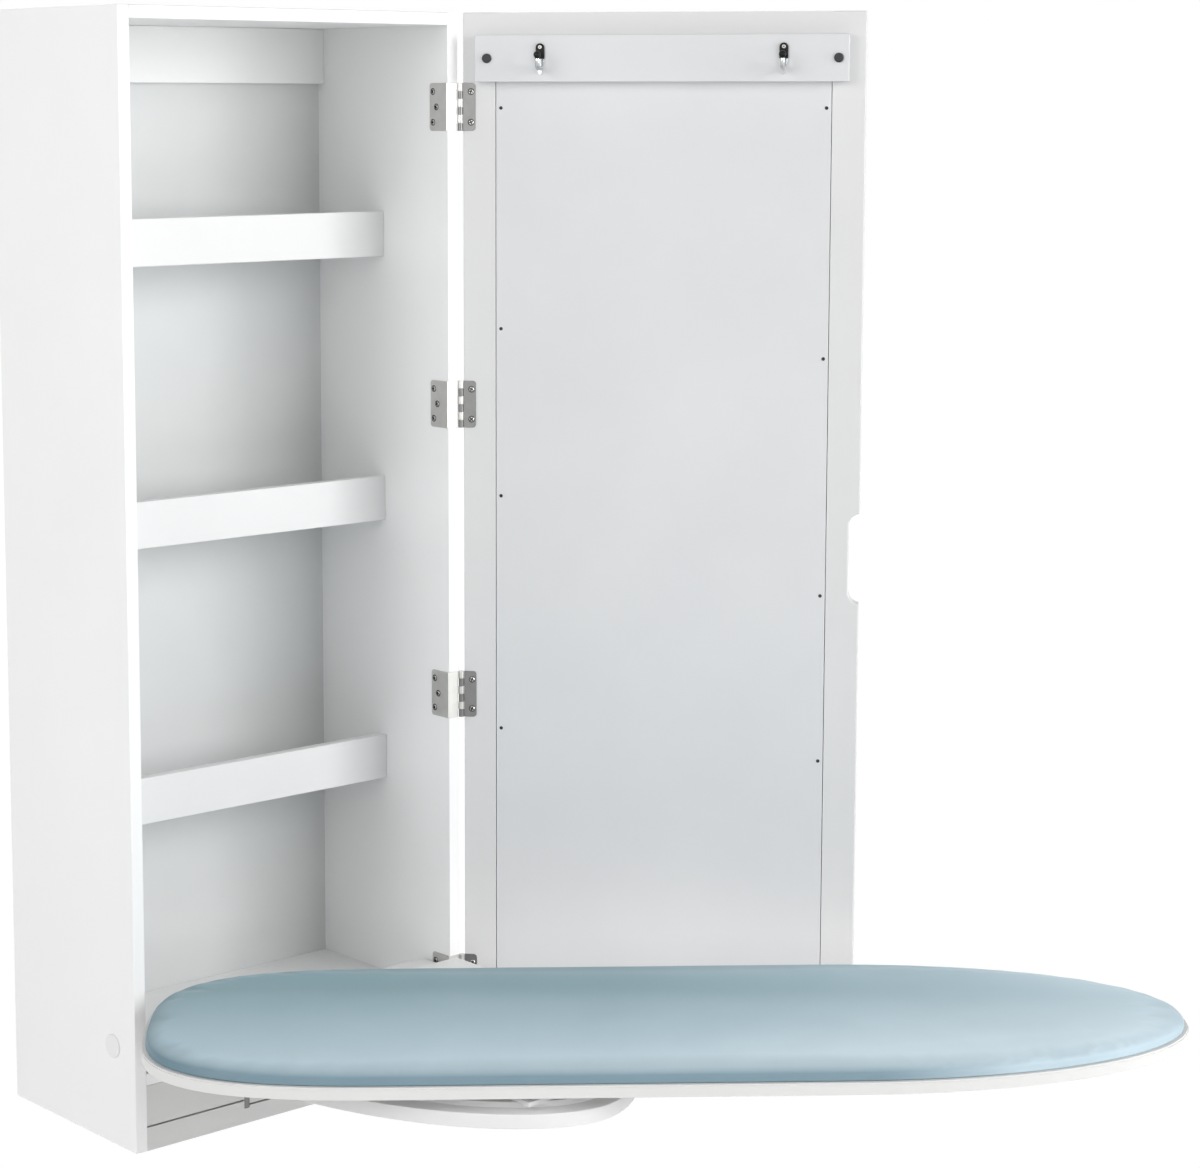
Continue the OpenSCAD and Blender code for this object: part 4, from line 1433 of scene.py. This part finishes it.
@dataclass
class Studio:
    """Camera, lamps, world and floor of the photo studio.

    glow_near and glow_far pair a distance with the share of white that the floor shows there.
    """

    eye: Vector = field(default_factory=lambda: Vector((-1.503, -2.2255, -0.0431)))
    yaw: float = math.radians(40.87)
    pitch: float = math.radians(7.2)
    lens_mm: float = 85.85
    shift: tuple[float, float] = (0.0718, -0.1010)
    sensor_mm: float = 36.0
    ambient: float = 0.18
    floor_drop: float = 0.42
    floor_size: float = 14.0
    glow_near: tuple[float, float] = (1.8, 0.94)
    glow_far: tuple[float, float] = (4.5, 1.0)
    glow: float = 1.03
    paper: str = "F4F4F4"
    white: str = "FFFFFF"
    lamps: tuple[Softbox, ...] = (
        Softbox("key", (1.25, -3.3, 0.35), 64.0),
        Softbox("key_low", (2.3, -2.9, -0.1), 25.0),
        Softbox("side", (-3.1, -0.3, 0.8), 48.0),
        Softbox("side_front", (-3.1, -1.5, 0.3), 21.0),
        Softbox("front", (-1.0, -3.6, 1.2), 9.0),
        Softbox("back", (0.9, 3.2, 1.6), 30.0),
    )

    def build(self) -> None:
        """Sets the whole studio."""
        self.camera()
        self.world()
        self.floor()
        for lamp in self.lamps:
            lamp.hang()

    def camera(self) -> None:
        """Places the camera at the photograph's viewpoint."""
        data = bpy.data.cameras.new("photo_camera")
        data.lens = self.lens_mm
        data.sensor_width = self.sensor_mm
        data.shift_x, data.shift_y = self.shift
        camera = bpy.data.objects.new("photo_camera", data)
        bpy.context.scene.collection.objects.link(camera)
        camera.location = self.eye
        camera.rotation_euler = (math.pi / 2 - self.pitch, 0.0, -self.yaw)
        bpy.context.scene.camera = camera

    def world(self) -> None:
        """Lights the object evenly and shows white to the camera and in gloss."""
        world = bpy.data.worlds.new("studio_world")
        bpy.context.scene.world = world
        world.use_nodes = True
        tree = world.node_tree
        tree.nodes.clear()
        light = add_node(tree, "ShaderNodeMapRange", {"To Min": self.ambient, "To Max": 1.0},
                         {"Value": shown_as_white(tree)})
        glow = add_node(tree, "ShaderNodeBackground", {"Color": linear(self.white)},
                        {"Strength": light.outputs["Result"]})
        add_node(tree, "ShaderNodeOutputWorld", links={"Surface": glow.outputs["Background"]})

    def floor(self) -> None:
        """Lays a pale floor well under the object, which keeps a faint shadow."""
        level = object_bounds()[0].z - self.floor_drop
        side = self.floor_size
        mesh = bpy.data.meshes.new("studio_floor")
        mesh.from_pydata([(-side, -side, level), (side, -side, level), (side, side, level),
                          (-side, side, level)], [], [(0, 1, 2, 3)])
        floor = new_object("studio_floor", mesh)
        material, tree = new_shader("studio_paper")
        place = add_node(tree, "ShaderNodeTexCoord").outputs["Object"]
        away = add_node(tree, "ShaderNodeVectorMath", links={0: place}, operation="LENGTH")
        (near, low_glow), (far, full_glow) = self.glow_near, self.glow_far
        glow = add_node(tree, "ShaderNodeMapRange",
                        {"From Min": near, "From Max": far, "To Min": low_glow, "To Max": full_glow},
                        {"Value": away.outputs["Value"]})
        share = add_node(tree, "ShaderNodeMath", links={0: shown_as_white(tree), 1: glow.outputs["Result"]},
                         operation="MULTIPLY")
        paper = add_node(tree, "ShaderNodeBsdfDiffuse", {"Color": linear(self.paper)})
        white = add_node(tree, "ShaderNodeEmission", {"Color": linear(self.white), "Strength": self.glow})
        mixed = add_node(tree, "ShaderNodeMixShader", links={0: share.outputs["Value"],
                                                             1: paper.outputs["BSDF"],
                                                             2: white.outputs["Emission"]})
        add_node(tree, "ShaderNodeOutputMaterial", links={"Surface": mixed.outputs["Shader"]})
        floor.data.materials.append(material)
        floor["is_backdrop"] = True


def main() -> None:
    """Builds the studio and dresses the object, class by class."""
    logging.basicConfig(level=logging.INFO, format="%(name)s: %(message)s")
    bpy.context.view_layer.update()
    bpy.context.scene.view_settings.view_transform = "Standard"
    Studio().build()
    finishes = Finishes()
    for part in (Carcass(finishes), FoldAxle(finishes), ButtHinges(finishes), Door(finishes),
                 SupportLeaf(finishes), IroningBoard(finishes)):
        part.build()
        log.info("%s done", type(part).__name__)


if __name__ == "__main__":
    main()
